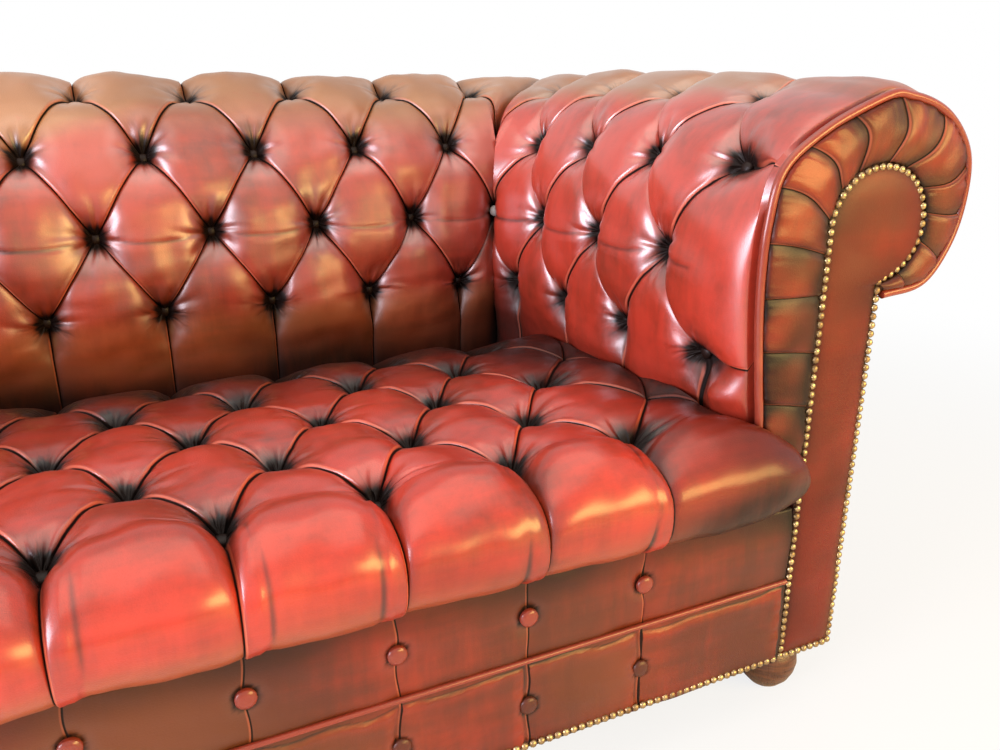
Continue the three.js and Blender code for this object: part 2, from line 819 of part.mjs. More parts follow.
// Blocks behind the posts carry the feet.
const footAcross = 100;
const footFromFront = 60;
const footFromBack = 30;
const footRadius = 41;
const boltRadius = 5;
const boltInFoot = 22;
const boltInBlock = 22;
const footBlockHeight = 60;
const rearFootDepth = backPlane + legOuter - footFromBack;

function footBlock(low, high) {
  const inner = armPlane + legInner;
  const outer = armPlane + legOuter;
  return block(inner, outer, low, high, frameZ, frameZ + footBlockHeight);
}

// The turned foot from the floor up, in shares of its radius and height.
const footShares = [
  { radius: 0.66, height: 0 },
  { radius: 0.9, height: 0.12 },
  { radius: 1, height: 0.36 },
  { radius: 0.93, height: 0.58 },
  { radius: 0.66, height: 0.76 },
  { radius: 0.6, height: 0.82 },
  { radius: 0.82, height: 0.88 },
  { radius: 0.82, height: 1 },
];

// An upright pin of one radius between two heights.
function pin(x, y, radius, low, high) {
  const geometry = new THREE.CylinderGeometry(radius, radius, high - low, boltSides);
  return geometry.rotateX(Math.PI / 2).translate(x, y, (low + high) / 2);
}

// The hole that a foot bolt passes, from one height up to another.
function boltHole(x, y, low, high) {
  return pin(x, y, boltRadius + seatGap, low, high);
}

function drilledFootBlock(low, high, y) {
  const hole = boltHole(armPlane + footAcross, y, frameZ - overrun, frameZ + boltInBlock + seatGap);
  return cut(footBlock(low, high), [hole]);
}

function bunFoot(y) {
  const height = footHeight - seatGap;
  const socketZ = height - boltInFoot - seatGap;
  const profile = [
    new THREE.Vector2(0, 0),
    ...footShares.map((place) => new THREE.Vector2(place.radius * footRadius, place.height * height)),
    new THREE.Vector2(boltRadius + seatGap, height),
    new THREE.Vector2(boltRadius + seatGap, socketZ),
    new THREE.Vector2(0, socketZ),
  ];
  return new THREE.LatheGeometry(profile, footSides).rotateX(Math.PI / 2).translate(armPlane + footAcross, y, 0);
}

function footBolt(y) {
  return pin(armPlane + footAcross, y, boltRadius, footHeight - seatGap - boltInFoot, frameZ + boltInBlock);
}

// Outer covers: leather over board at the arms' and back's outside, and cloth below.
const coverDrop = 16;
const coverTop = coreLine[0].y - coverDrop;

function outsideArm() {
  const x = armPlane + legOuter + seatGap;
  return block(x, x + panelThickness, armFrontY, frontFace + backPlane + legOuter, undersideZ, coverTop);
}

function outsideBack() {
  const side = armPlane + legOuter + panelThickness + seatGap;
  const y = frontFace + backPlane + legOuter + seatGap;
  return block(-side, side, y, y + panelThickness, undersideZ, coverTop);
}

function dustCover() {
  const side = armPlane + legOuter;
  const back = frontFace + backPlane + legOuter;
  const sheet = block(-side, side, armFrontY, back, undersideZ, undersideZ + linerThickness);
  const holes = [];
  for (const x of [-armPlane - footAcross, armPlane + footAcross]) {
    for (const y of [frontFace + footFromFront, frontFace + rearFootDepth]) {
      holes.push(boltHole(x, y, undersideZ - overrun, undersideZ + overrun));
    }
  }
  return cut(sheet, holes);
}

// Frame
const armRail = socketFor(...armTopRailSides());
const rearFormerY = frontFace + backPlane - armCornerPitch - boardThickness;
const postBack = armFrontY + boardThickness;
addPiece("front_rail", frontRail(), beech);
addPiece("back_rail", backRail(), beech);
addPair("side_rail", sideRail(), beech);
const stretcherPitches = 1.5;
const stretcherPlace = stretcherPitches * seatPitch;
addPiece("seat_stretcher_right", stretcher(stretcherPlace), beech);
addPiece("seat_stretcher_left", stretcher(-stretcherPlace), beech);
addPair("arm_post", armFormer(armFrontY, []), beech);
addPair("arm_former", armFormer(rearFormerY, [armRail]), beech);
addPair("arm_top_rail", block(...armTopRailSides()), beech);
addPiece("back_top_rail", block(...backTopRailSides()), beech);
const formerPitches = 4.5;
const backFormerPlace = formerPitches * backPitch;
addPiece("back_former_middle", backFormer(0), beech);
addPiece("back_former_right", backFormer(backFormerPlace), beech);
addPiece("back_former_left", backFormer(-backFormerPlace), beech);

// Feet
const frontFootY = frontFace + footFromFront;
const rearFootY = frontFace + rearFootDepth;
const frontBlockY = [postBack + seatGap, postBack + footFromFront];
const rearBlockY = [rearFootY - footFromFront, rearFootY + footFromBack];
addPair("front_foot_block", drilledFootBlock(...frontBlockY, frontFootY), beech);
addPair("rear_foot_block", drilledFootBlock(...rearBlockY, rearFootY), beech);
addPair("front_foot", bunFoot(frontFootY), darkWood);
addPair("rear_foot", bunFoot(rearFootY), darkWood);
addPair("front_foot_bolt", footBolt(frontFootY), steel);
addPair("rear_foot_bolt", footBolt(rearFootY), steel);

// Seat suspension
for (let k = 0; k < springCount; k += 1) {
  const place = (k - (springCount - 1) / 2) * seatPitch;
  addPiece(`seat_spring_${k + 1}`, seatSpring(place), steel);
}
addPiece("seat_deck", seatDeck(), hessian);
addPiece("front_edge_roll", edgeRoll(), hessian);

// Upholstery
addPiece("seat_pad", seatPad(), leather);
addPiece("back_pad", backPad(), leather);
addPair("arm_pad", armPad(), leather);
addPiece("front_border", frontBorder(), wornLeather);
addPiece("border_welt", borderWelt(), wornLeather);
addPair("scroll_facing", facing(), leather);
addPair("gathered_border", gatheredBorder(), wornLeather);
addPair("arm_piping", armPiping(), leather);
addPair("outside_arm", outsideArm(), leather);
addPiece("outside_back", outsideBack(), leather);
addPiece("dust_cover", dustCover(), blackCloth);

export default sofa;
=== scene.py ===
# %% [markdown]
# # A deep-buttoned leather sofa
# The frame holds every piece of the sofa at its real size, down to the springs. This lesson gives
# the sofa its looks: leather pulled down by buttons into diamonds, a nailed front, turned feet and
# old rubbed colour. The frame is loaded first and never moved. Soft pieces are modelled anew round
# it and stand for the plain ones; wood, steel and hessian keep their shapes and get a finish.

# %% Load the frame
import math

import bmesh
import bpy
import numpy as np
from mathutils import Matrix, Vector


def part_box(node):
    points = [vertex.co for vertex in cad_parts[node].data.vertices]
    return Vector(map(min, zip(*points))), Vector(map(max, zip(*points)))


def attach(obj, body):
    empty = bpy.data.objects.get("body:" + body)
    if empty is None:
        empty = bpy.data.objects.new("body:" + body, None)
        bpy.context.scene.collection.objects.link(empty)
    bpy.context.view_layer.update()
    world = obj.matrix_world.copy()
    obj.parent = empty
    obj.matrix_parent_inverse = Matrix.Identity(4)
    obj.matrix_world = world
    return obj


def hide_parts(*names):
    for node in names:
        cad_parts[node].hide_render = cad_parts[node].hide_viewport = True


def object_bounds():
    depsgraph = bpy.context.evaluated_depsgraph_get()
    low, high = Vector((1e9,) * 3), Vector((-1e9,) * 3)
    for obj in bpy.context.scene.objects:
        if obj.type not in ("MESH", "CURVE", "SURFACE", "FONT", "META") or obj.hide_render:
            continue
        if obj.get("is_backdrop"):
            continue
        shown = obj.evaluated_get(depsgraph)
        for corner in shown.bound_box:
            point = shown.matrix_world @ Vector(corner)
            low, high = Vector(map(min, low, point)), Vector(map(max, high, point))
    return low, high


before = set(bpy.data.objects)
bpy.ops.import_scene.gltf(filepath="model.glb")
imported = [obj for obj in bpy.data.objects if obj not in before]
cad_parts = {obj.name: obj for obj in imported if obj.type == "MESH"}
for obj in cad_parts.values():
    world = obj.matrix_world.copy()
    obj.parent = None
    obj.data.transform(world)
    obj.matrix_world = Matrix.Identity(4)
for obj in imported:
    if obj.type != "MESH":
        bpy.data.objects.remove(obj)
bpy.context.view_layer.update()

# %% [markdown]
# ## Sizes
# An upholsterer marks the spacing of the buttons on the canvas before anything is covered, and
# every diamond, pleat and pit follows from those marks. They could be measured off a finished
# mesh, but written down once, in metres, they stay readable and move everything together. Only the
# few planes that the leather has to meet are read from the frame.

# %% Sizes from the frame and the button spacing
front_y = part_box("scroll_facing_right")[0][1]
underside_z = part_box("outside_back")[0][2]
deck_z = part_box("seat_deck")[1][2]
leg_inner_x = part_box("scroll_facing_right")[0][0]
board_back_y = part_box("scroll_facing_right")[1][1]

MM = 0.001
SEAT_PITCH = 135 * MM
SEAT_ROW_PITCH = 97.5 * MM
SEAT_FIRST_ROW = 39 * MM
SEAT_PITCHES = 9
BACK_PITCH = 143.1 * MM
BACK_PITCHES = 10
ARM_PITCH = 149.5 * MM
ARM_PITCHES = 4
ROW_PITCH = 100 * MM
ROLL_DEPTH = 264 * MM
PAD_HEIGHT = 435 * MM
LEG_INNER = 55 * MM
CORNER_FILL = 32 * MM
BACK_PLANE = 584 * MM

arm_plane = leg_inner_x - LEG_INNER
back_y = front_y + BACK_PLANE
pad_foot_z = deck_z + 5 * MM
inner_corner = arm_plane - CORNER_FILL
outer_button = SEAT_PITCH * SEAT_PITCHES / 2
corner_pitch = back_y - board_back_y - (ARM_PITCHES - 1) * ARM_PITCH
print("arm plane", round(arm_plane, 4), "back plane", round(back_y, 4))
print("corner pitch", round(corner_pitch, 4))

# %% [markdown]
# ## Camera
# The sofa is seen from just in front of the seat, a little above the arm, turned to the right. A
# camera could be aimed at a target, but its roll would then be lost, so its three axes are worked
# out from yaw, pitch and roll and set as one matrix.

# %% Camera
CAMERA_PLACE = Vector((0.1403, -1.0481, 0.7281))
CAMERA_YAW, CAMERA_PITCH, CAMERA_ROLL = 0.43964, 0.31436, -0.00964
CAMERA_LENS = 30.985
SENSOR_WIDTH = 36

camera_data = bpy.data.cameras.new("camera")
camera_data.lens = CAMERA_LENS
camera_data.sensor_width = SENSOR_WIDTH
camera = bpy.data.objects.new("camera", camera_data)
bpy.context.scene.collection.objects.link(camera)
forward = Vector((
    math.sin(CAMERA_YAW) * math.cos(CAMERA_PITCH),
    math.cos(CAMERA_YAW) * math.cos(CAMERA_PITCH),
    -math.sin(CAMERA_PITCH),
))
level = Vector((math.cos(CAMERA_YAW), -math.sin(CAMERA_YAW), 0))
rise = level.cross(forward)
right = level * math.cos(CAMERA_ROLL) + rise * math.sin(CAMERA_ROLL)
up = rise * math.cos(CAMERA_ROLL) - level * math.sin(CAMERA_ROLL)
turn = Matrix((right, up, -forward)).transposed().to_4x4()
camera.matrix_world = Matrix.Translation(CAMERA_PLACE) @ turn
bpy.context.scene.camera = camera
bpy.context.scene.view_settings.view_transform = "Standard"
print("camera", tuple(round(c, 3) for c in camera.location))

# %% [markdown]
# ## Shader sums
# Old leather has no plain colour: glaze, rubbing and dust lie over each other, and on this sofa
# painted shade and a painted highlight lie over them too. In Blender that is a graph of nodes. Dozens
# of nodes wired by hand are hard to read back, so one small class wraps a socket and lets + - and *
# add Math nodes. Any other node comes from its `node` method.


# %% A socket that can be used in sums
# Places of the colour sockets on a Mix node, and of two outputs that have no unique name.
SHARE_SOCKET, FIRST_COLOUR, SECOND_COLOUR, MIXED_COLOUR = 0, 6, 7, 2
OBJECT_COORDINATES = 3
NUMBER, DIRECTION = 2, 1


class Wire:
    def __init__(self, tree, socket):
        self.tree = tree
        self.socket = socket

    def node(self, kind, settings=None, sockets=None, output=0):
        made = self.tree.nodes.new(kind)
        for name, value in (settings or {}).items():
            setattr(made, name, value)
        for name, value in (sockets or {}).items():
            if isinstance(value, Wire):
                self.tree.links.new(value.socket, made.inputs[name])
            else:
                made.inputs[name].default_value = value
        return Wire(self.tree, made.outputs[output])

    def math(self, operation, first, second):
        return self.node("ShaderNodeMath", {"operation": operation}, {0: first, 1: second})

    def __add__(self, other):
        return self.math("ADD", self, other)

    def __radd__(self, other):
        return self.math("ADD", other, self)

    def __sub__(self, other):
        return self.math("SUBTRACT", self, other)

    def __rsub__(self, other):
        return self.math("SUBTRACT", other, self)

    def __mul__(self, other):
        return self.math("MULTIPLY", self, other)

    def __rmul__(self, other):
        return self.math("MULTIPLY", other, self)

    def between(self, low, high):
        """0 below low and 1 above high, with a soft step between them."""
        return self.node(
            "ShaderNodeMapRange", {"interpolation_type": "SMOOTHSTEP"},
            {"Value": self, "From Min": low, "From Max": high},
        )

    def blend(self, first, second):
        """The first colour where this wire is 0 and the second where it is 1."""
        return self.node(
            "ShaderNodeMix", {"data_type": "RGBA"},
            {SHARE_SOCKET: self, FIRST_COLOUR: first, SECOND_COLOUR: second}, output=MIXED_COLOUR,
        )

    def noise(self, scale, detail=3.0, roughness=0.5):
        """Soft noise over this place, with its blotches about 1 / scale metres across."""
        return self.node(
            "ShaderNodeTexNoise", {},
            {"Vector": self, "Scale": scale, "Detail": detail, "Roughness": roughness},
        )

    def stretched(self, x, y, z):
        """This place with each direction scaled, which draws a pattern out along the small ones."""
        return self.node("ShaderNodeMapping", {}, {"Vector": self, "Scale": (x, y, z)})

    def attribute(self, name):
        return self.node("ShaderNodeAttribute", {"attribute_name": name}, output=NUMBER)


# %% Starting and finishing a material
def new_material(name):
    """A material with its shader, and a wire of Object coordinates to start from."""
    material = bpy.data.materials.new(name)
    material.use_nodes = True
    tree = material.node_tree
    shader = tree.nodes["Principled BSDF"]
    place = Wire(tree, None).node("ShaderNodeTexCoord", output=OBJECT_COORDINATES)
    return material, shader, place


def finish_surface(shader, place, colour, roughness, heights, metallic=None, coat=None):
    """Joins colour, roughness and a stack of (height, distance in metres) bumps to the shader."""
    links = place.tree.links
    links.new(colour.socket, shader.inputs["Base Color"])
    links.new(roughness.socket, shader.inputs["Roughness"])
    normal = None
    for height, distance in heights:
        sockets = {"Height": height, "Distance": distance, "Strength": 1.0}
        if normal:
            sockets["Normal"] = normal
        normal = place.node("ShaderNodeBump", {}, sockets)
    links.new(normal.socket, shader.inputs["Normal"])
    if metallic:
        links.new(metallic.socket, shader.inputs["Metallic"])
    if coat:
        links.new(coat.socket, shader.inputs["Coat Weight"])


print("shader sums ready")

# %% [markdown]
# ## Leather
# Hand-rubbed leather is dyed pale and then wiped with darker glaze. The glaze stays in pleats and
# button pits and is rubbed off the crowns. Here the same dark also paints shade: deeper in pleats,
# pits, creases and the hollows between crowns, at the foot of each pad and where pads meet; and a
# painted highlight runs along the edge of each fold. A picture could be wrapped round the pads, but
# it would stretch over the crowns and miss the pits. So the meshes below carry a few marks instead,
# and the leather reads them. For every point they say how near it is to a pleat ("seam", 1 on it and
# 0 from 20 mm away) and on which side ("side"), how near it is to a button ("pit", 1 on it and 0 from
# 60 mm away) and in which direction ("spoke"), whether it lies on a stretch crease ("crease"), how
# high it is stuffed ("crown"), how browned it is ("fade") and how much glaze and painted shade it
# gets ("dirt").

# %% How leather is finished
LEATHER_MARKS = ("seam", "side", "pit", "crease", "crown", "fade", "dirt")
SPOKE_FANNING = (14, 14, 14)
PLAIN_SPECULAR = 0.15


def lerp(first, second, share):
    return first + (second - first) * share


def leather(name, rubbed, dyed, glaze, faded, painted_highlight, gloss, polished=1.0, shine=1.52):
    """Leather from its colours: rubbed and dyed, the glaze and painted shade over both, browned, and a
    painted highlight at a fold.
    """
    material, shader, place = new_material(name)
    seam, side, pit, crease, crown, fade, dirt = [place.attribute(mark) for mark in LEATHER_MARKS]

    # The hide itself: soft clouds, brush strokes two ways, grain cells, pores and scuffs.
    clouds = place.noise(5.0, 4.0, 0.6)
    strokes = place.stretched(60, 60, 9).noise(1.0, 5.0, 0.65)
    hatch = place.stretched(9, 70, 60).noise(1.0, 4.0, 0.6)
    cells = place.node(
        "ShaderNodeTexVoronoi", {"feature": "DISTANCE_TO_EDGE"}, {"Vector": place, "Scale": 420.0},
    )
    pores = place.noise(900.0, 2.0, 0.5)
    scuffs = place.noise(38.0, 6.0, 0.7).between(0.58, 0.75)

    # Fine creases that fan out from every button.
    toward = place.node("ShaderNodeAttribute", {"attribute_name": "spoke"}, output=DIRECTION)
    toward = place.node("ShaderNodeVectorMath", {"operation": "NORMALIZE"}, {0: toward})
    spread = place.node(
        "ShaderNodeVectorMath", {"operation": "MULTIPLY_ADD"}, {0: place, 1: SPOKE_FANNING, 2: toward},
    )
    spokes = spread.noise(2.1, 1.5, 0.5).between(0.44, 0.68)
    near_pit = pit.between(0.28, 0.8)

    # Colour: dye, then what was rubbed bare, then what has browned with age.
    rub = (clouds * 1.1 + strokes * 0.5 + hatch * 0.4 + crown * 0.4 - 1.2).between(-0.2, 0.42)
    colour = rub.blend(dyed, rubbed)
    browned = (fade * (0.55 + clouds * 0.5 + strokes * 0.35)).between(0.2, 0.9)
    colour = browned.blend(colour, faded)
    colour = (scuffs * crown * 0.3).blend(colour, rubbed)

    # Glaze and painted shade: dark in the grooves, pits, creases, hollows between the crowns and where
    # the mesh marks it; then a painted highlight, a pale band along the upper edge of each fold.
    upper = side.between(0.2, 0.8)
    groove = lerp(seam.between(0.925, 0.98), seam.between(0.962, 0.988), upper)
    shade = groove * 0.95 + pit.between(0.64, 0.92) * (0.8 + spokes * 0.5)
    shade = shade + near_pit * (0.2 + spokes * 0.3)
    shade = shade + dirt * (0.7 + strokes * 0.4) + crease.between(0.2, 1.0) * 0.55
    shade = shade + (1 - crown).between(0.25, 0.9) * clouds * 0.6
    colour = shade.between(0.0, 1.05).blend(colour, glaze)
    # The painted highlight: a thin pale band beside each pleat, on its upper side, fainter near pits and
    # shade.
    edge = seam.between(0.87, 0.92) * (1 - seam.between(0.955, 0.985)) * upper
    edge = edge * (1 - pit.between(0.4, 0.75)) * (1 - dirt * 0.8) * (1 - fade * 0.45) * 0.72
    colour = edge.blend(colour, painted_highlight)

    # Polish: strongest on the crowns and beside the pits, none in the grooves.
    roughness = 0.38 + strokes * 0.12 + scuffs * 0.1 + groove * 0.2 + pores * 0.05
    polish = (1 - pit.between(0.58, 0.82)) * (1 - groove) * (1 - dirt * 0.8)
    polish = polish * (0.55 + clouds * 0.5 + pit.between(0.15, 0.4) * 0.35)
    grain_height = cells.between(0.0, 0.25) * 0.7 + pores * 0.4
    finish_surface(shader, place, colour, roughness, (
        (clouds, 0.002), (strokes * 0.5 + hatch * 0.5, 0.0005), (grain_height, 0.00014),
        (1 - near_pit * (1 - pit.between(0.86, 0.97)) * spokes, 0.003),
    ), coat=polish * polished)
    shader.inputs["Specular IOR Level"].default_value = PLAIN_SPECULAR
    shader.inputs["Coat IOR"].default_value = shine
    shader.inputs["Coat Roughness"].default_value = gloss
    return material


print("leather reads", LEATHER_MARKS)

# %% The leathers of this sofa
# The colour of the glaze, which also serves as the painted shade in grooves, pits and hollows.
DARK_GLAZE_AND_SHADE = (0.009, 0.004, 0.003, 1)
BROWN_GLAZE_AND_SHADE = (0.01, 0.005, 0.003, 1)
red_leather = leather(
    "red leather", rubbed=(0.52, 0.031, 0.011, 1), dyed=(0.19, 0.019, 0.005, 1), glaze=DARK_GLAZE_AND_SHADE,
    faded=(0.31, 0.12, 0.036, 1), painted_highlight=(0.75, 0.17, 0.09, 1), gloss=0.27, shine=1.7,
)
arm_leather = leather(
    "glossy red leather", rubbed=(0.48, 0.038, 0.017, 1), dyed=(0.17, 0.021, 0.007, 1), glaze=DARK_GLAZE_AND_SHADE,
    faded=(0.31, 0.12, 0.036, 1), painted_highlight=(0.75, 0.17, 0.09, 1), gloss=0.31, shine=1.95,
)
back_leather = leather(
    "soft red leather", rubbed=(0.42, 0.042, 0.016, 1), dyed=(0.16, 0.024, 0.008, 1), glaze=DARK_GLAZE_AND_SHADE,
    faded=(0.36, 0.15, 0.048, 1), painted_highlight=(0.7, 0.17, 0.09, 1), gloss=0.38, shine=1.95,
)
rubbed_leather = leather(
    "rubbed leather", rubbed=(0.3, 0.028, 0.008, 1), dyed=(0.1, 0.019, 0.006, 1), glaze=BROWN_GLAZE_AND_SHADE,
    faded=(0.145, 0.038, 0.008, 1), painted_highlight=(0.45, 0.11, 0.05, 1), gloss=0.34, polished=0.66,
)
facing_leather = leather(
    "facing leather", rubbed=(0.31, 0.023, 0.009, 1), dyed=(0.16, 0.017, 0.006, 1), glaze=BROWN_GLAZE_AND_SHADE,
    faded=(0.17, 0.05, 0.012, 1), painted_highlight=(0.45, 0.11, 0.05, 1), gloss=0.34, polished=0.5,
)
coral_leather = leather(
    "coral leather", rubbed=(0.55, 0.1, 0.045, 1), dyed=(0.3, 0.04, 0.02, 1), glaze=(0.05, 0.012, 0.008, 1),
    faded=(0.3, 0.1, 0.05, 1), painted_highlight=(0.6, 0.12, 0.07, 1), gloss=0.2,
)
# The buttons are coloured near black, far darker than the leather round them: the shade of their pits is
# painted into them.
button_leather = leather(
    "button leather", rubbed=(0.035, 0.016, 0.011, 1), dyed=(0.016, 0.007, 0.005, 1),
    glaze=(0.01, 0.005, 0.004, 1), faded=(0.5, 0.48, 0.44, 1), painted_highlight=(0.06, 0.03, 0.02, 1),
    gloss=0.35, polished=0.12,
)
leathers = (
    red_leather, arm_leather, back_leather, rubbed_leather, facing_leather, coral_leather, button_leather,
)
print("leathers", [material.name for material in leathers])

# %% [markdown]
# ## Smooth sections
# The roll of the back and arms is built up over shaped boards, so its section is the same all along.
# It could be drawn as a Bezier curve, but then no place on it has a known row of buttons. Here it is
# given at the rows themselves, and a curve that passes through every given point turns the few rows
# into a smooth line that can be read anywhere.


# %% A curve through given values
def through(rows, values):
    rows = np.array(rows, float)
    values = np.array(values, float)
    step = np.diff(rows)
    slope = np.diff(values) / step
    tangent = np.empty_like(values)
    tangent[1:-1] = (slope[:-1] * step[1:] + slope[1:] * step[:-1]) / (step[1:] + step[:-1])
    tangent[0], tangent[-1] = slope[0], slope[-1]

    def read(row):
        i = np.clip(np.searchsorted(rows, row) - 1, 0, len(step) - 1)
        t = (row - rows[i]) / step[i]
        low, high = values[i], values[i + 1]
        return (
            (1 + 2 * t) * (1 - t) ** 2 * low + t * (1 - t) ** 2 * step[i] * tangent[i]
            + t * t * (3 - 2 * t) * high + t * t * (t - 1) * step[i] * tangent[i + 1]
        )

    return read


def soft_step(low, high, value):
    t = np.clip((value - low) / (high - low), 0, 1)
    return t * t * (3 - 2 * t)


print("curve through 0, 1 and 0, read between them", float(through([0, 1, 2], [0, 1, 0])(0.5)))

# %% The rolled section: row of buttons, depth, height and crown
# Depths and crowns are shares of the roll's depth, and heights are shares of the pad's height.
ROLL_ROWS = [-3, -2, -1, -0.5, 0, 0.5, 1, 1.5, 2, 3, 4, 5, 6, 7, 8, 9]
ROLL_DEPTHS = [
    -0.023, 0, -0.021, -0.015, 0, 0.042, 0.12, 0.252, 0.42, 0.62, 0.803, 0.902, 0.932, 0.879, 0.758, 0.583,
]
ROLL_HEIGHTS = [
    0, 0.218, 0.372, 0.49, 0.605, 0.724, 0.825, 0.912, 0.97, 1.003, 0.948, 0.855, 0.747, 0.637, 0.563, 0.54,
]
ROLL_CROWNS = [
    0.02, 0.09, 0.129, 0.136, 0.136, 0.136, 0.136, 0.138, 0.138, 0.118, 0.09, 0.072, 0.061, 0.045, 0.03, 0,
]
ARM_FRONT_DEPTHS = [
    -0.015, -0.027, -0.053, -0.072, -0.08, -0.068, -0.011, 0.182, 0.424, 0.621, 0.833, 0.977, 1, 0.947, 0.811,
    0.583,
]
ARM_FRONT_HEIGHTS = [
    0, 0.23, 0.372, 0.49, 0.605, 0.724, 0.846, 0.931, 0.991, 1, 0.956, 0.862, 0.747, 0.628, 0.531, 0.51,
]
roll_depth_at = through(ROLL_ROWS, np.array(ROLL_DEPTHS) * ROLL_DEPTH)
roll_height_at = through(ROLL_ROWS, np.array(ROLL_HEIGHTS) * PAD_HEIGHT)
roll_crown_at = through(ROLL_ROWS, np.array(ROLL_CROWNS) * ROLL_DEPTH)
front_depth_at = through(ROLL_ROWS, np.array(ARM_FRONT_DEPTHS) * ROLL_DEPTH)
front_height_at = through(ROLL_ROWS, np.array(ARM_FRONT_HEIGHTS) * PAD_HEIGHT)


SMALL_ROW_STEP = 0.02


def section_normal(depth_at, height_at, row):
    """Square to the section line, on the sitter's side of it."""
    along_depth = depth_at(row + SMALL_ROW_STEP) - depth_at(row - SMALL_ROW_STEP)
    along_height = height_at(row + SMALL_ROW_STEP) - height_at(row - SMALL_ROW_STEP)
    length = np.hypot(along_depth, along_height) + 1e-9
    return -along_height / length, along_depth / length


print("roll top", round(float(roll_height_at(np.array([2.2]))[0]), 4), "m above the pad's foot")

# %% [markdown]
# ## Diamond buttoning
# On the real sofa each button pulls the leather down through the stuffing, and the slack between
# two buttons is folded into a pleat. It could be sculpted or dented with a texture, but neither
# gives folds that run exactly from button to button. So the leather is laid out flat first, in
# button units: `a` counts pitches along the sofa and `v` counts rows, so every button is at whole
# numbers of p = a - v / 2 and q = a + v / 2, and every pleat is a line where p or q is whole. Each
# pillow between the pleats is one grid, drawn out between its left and right pleat, with columns
# crowded towards the pleats so that the folds stay crisp.

# %% Laying the pillows flat
PILLOW_COLUMNS = 26
ROWS_PER_UNIT = 24
ROWS_PER_FLUTE = 9
ROW_CROWDING = 0.09
MERGE_WITHIN = 2e-5
NO_LENGTH = 1e-6


def rows_between(low, high, finest_low, finest_high):
    """Row places from low to high, finer where the diamonds are and crowded towards the buttons."""
    rows = []
    for unit in range(low, high):
        fine = finest_low <= unit < finest_high
        count = ROWS_PER_UNIT if fine else ROWS_PER_FLUTE
        for i in range(count):
            t = i / count
            rows.append(unit + t - (ROW_CROWDING * math.sin(2 * math.pi * t) if fine else 0))
    return rows + [high]


def lay_pillow(flat, rows, left, right, columns=PILLOW_COLUMNS):
    """One pillow of the flat leather, between two pleats that are read at each row."""
    last = len(rows) - 1
    grid = bmesh.ops.create_grid(flat, x_segments=columns, y_segments=last, size=0.5)
    for vert in grid["verts"]:
        share = 0.5 - 0.5 * math.cos(math.pi * (vert.co.x + 0.5))
        row = rows[round((vert.co.y + 0.5) * last)]
        vert.co = (left(row) + (right(row) - left(row)) * share, row, 0)


def sew_pillows(flat):
    """Joins the pillows along their pleats and drops edges that have no length."""
    bmesh.ops.remove_doubles(flat, verts=flat.verts, dist=MERGE_WITHIN)
    bmesh.ops.dissolve_degenerate(flat, edges=flat.edges, dist=NO_LENGTH)


def grow_rim(flat):
    """Extrudes the rim of the flat leather and gives the new vertices and edges."""
    rim = [edge for edge in flat.edges if edge.is_boundary]
    grown = bmesh.ops.extrude_edge_only(flat, edges=rim)["geom"]
    verts = [part for part in grown if isinstance(part, bmesh.types.BMVert)]
    edges = [part for part in grown if isinstance(part, bmesh.types.BMEdge)]
    return verts, edges


def close_behind(flat, spine_row):
    """Joins the rim of the flat leather to a line behind it, which is marked by a height of 1."""
    sew_pillows(flat)
    for vert in grow_rim(flat)[0]:
        vert.co = (round(2 * vert.co.x) / 2, spine_row, 1)
    sew_pillows(flat)


print("rows of one buttoned unit", len(rows_between(0, 1, 0, 1)))

# %% [markdown]
# ## The stuffing
# Between its buttons the hair stuffing swells up, highest in the middle of a diamond and lower
# along the pleats. Past the last row the diamonds open into straight pleats. A height could be
# painted for each pad, but one rule for all of them keeps back, arms and seat alike, so the height
# is worked out from how far a place lies between its two pairs of pleats.

# %% Height across a pillow and along a pleat
PLEAT_LIFT = 0.72
# How high a straight pleat lies, and over how many rows it gets there.
ROLL_OPENING = (0.72, 0.9)
SEAT_OPENING = (0.88, 2.3)
# How steeply a pillow falls to the pleat above it and to the pleat below it.
UPPER_FALL, LOWER_FALL = 0.62, 0.4


def pleat_rise(share):
    """Height of a pleat between two buttons."""
    return PLEAT_LIFT * (1 - np.abs(2 * share - 1) ** 2.4) ** 0.8


def swell(share, near_low, near_high):
    """Height across a pillow; the powers say how steeply it falls at its two pleats."""
    side = 2 * share - 1
    power = np.where(side < 0, near_low, near_high)
    return (1 - np.clip(np.abs(side), 0, 1) ** 2.3) ** power


print("middle of a pleat", pleat_rise(0.5), "of the crown")

# %% The buttoning of one pad
ENDLESS = 100
END_OPENING = 0.45
CREASE_SAG = 0.1
CREASE_WIDTH = 3 * MM


class Spot:
    """What the buttoning gives at each place: shares, distances in metres and directions."""


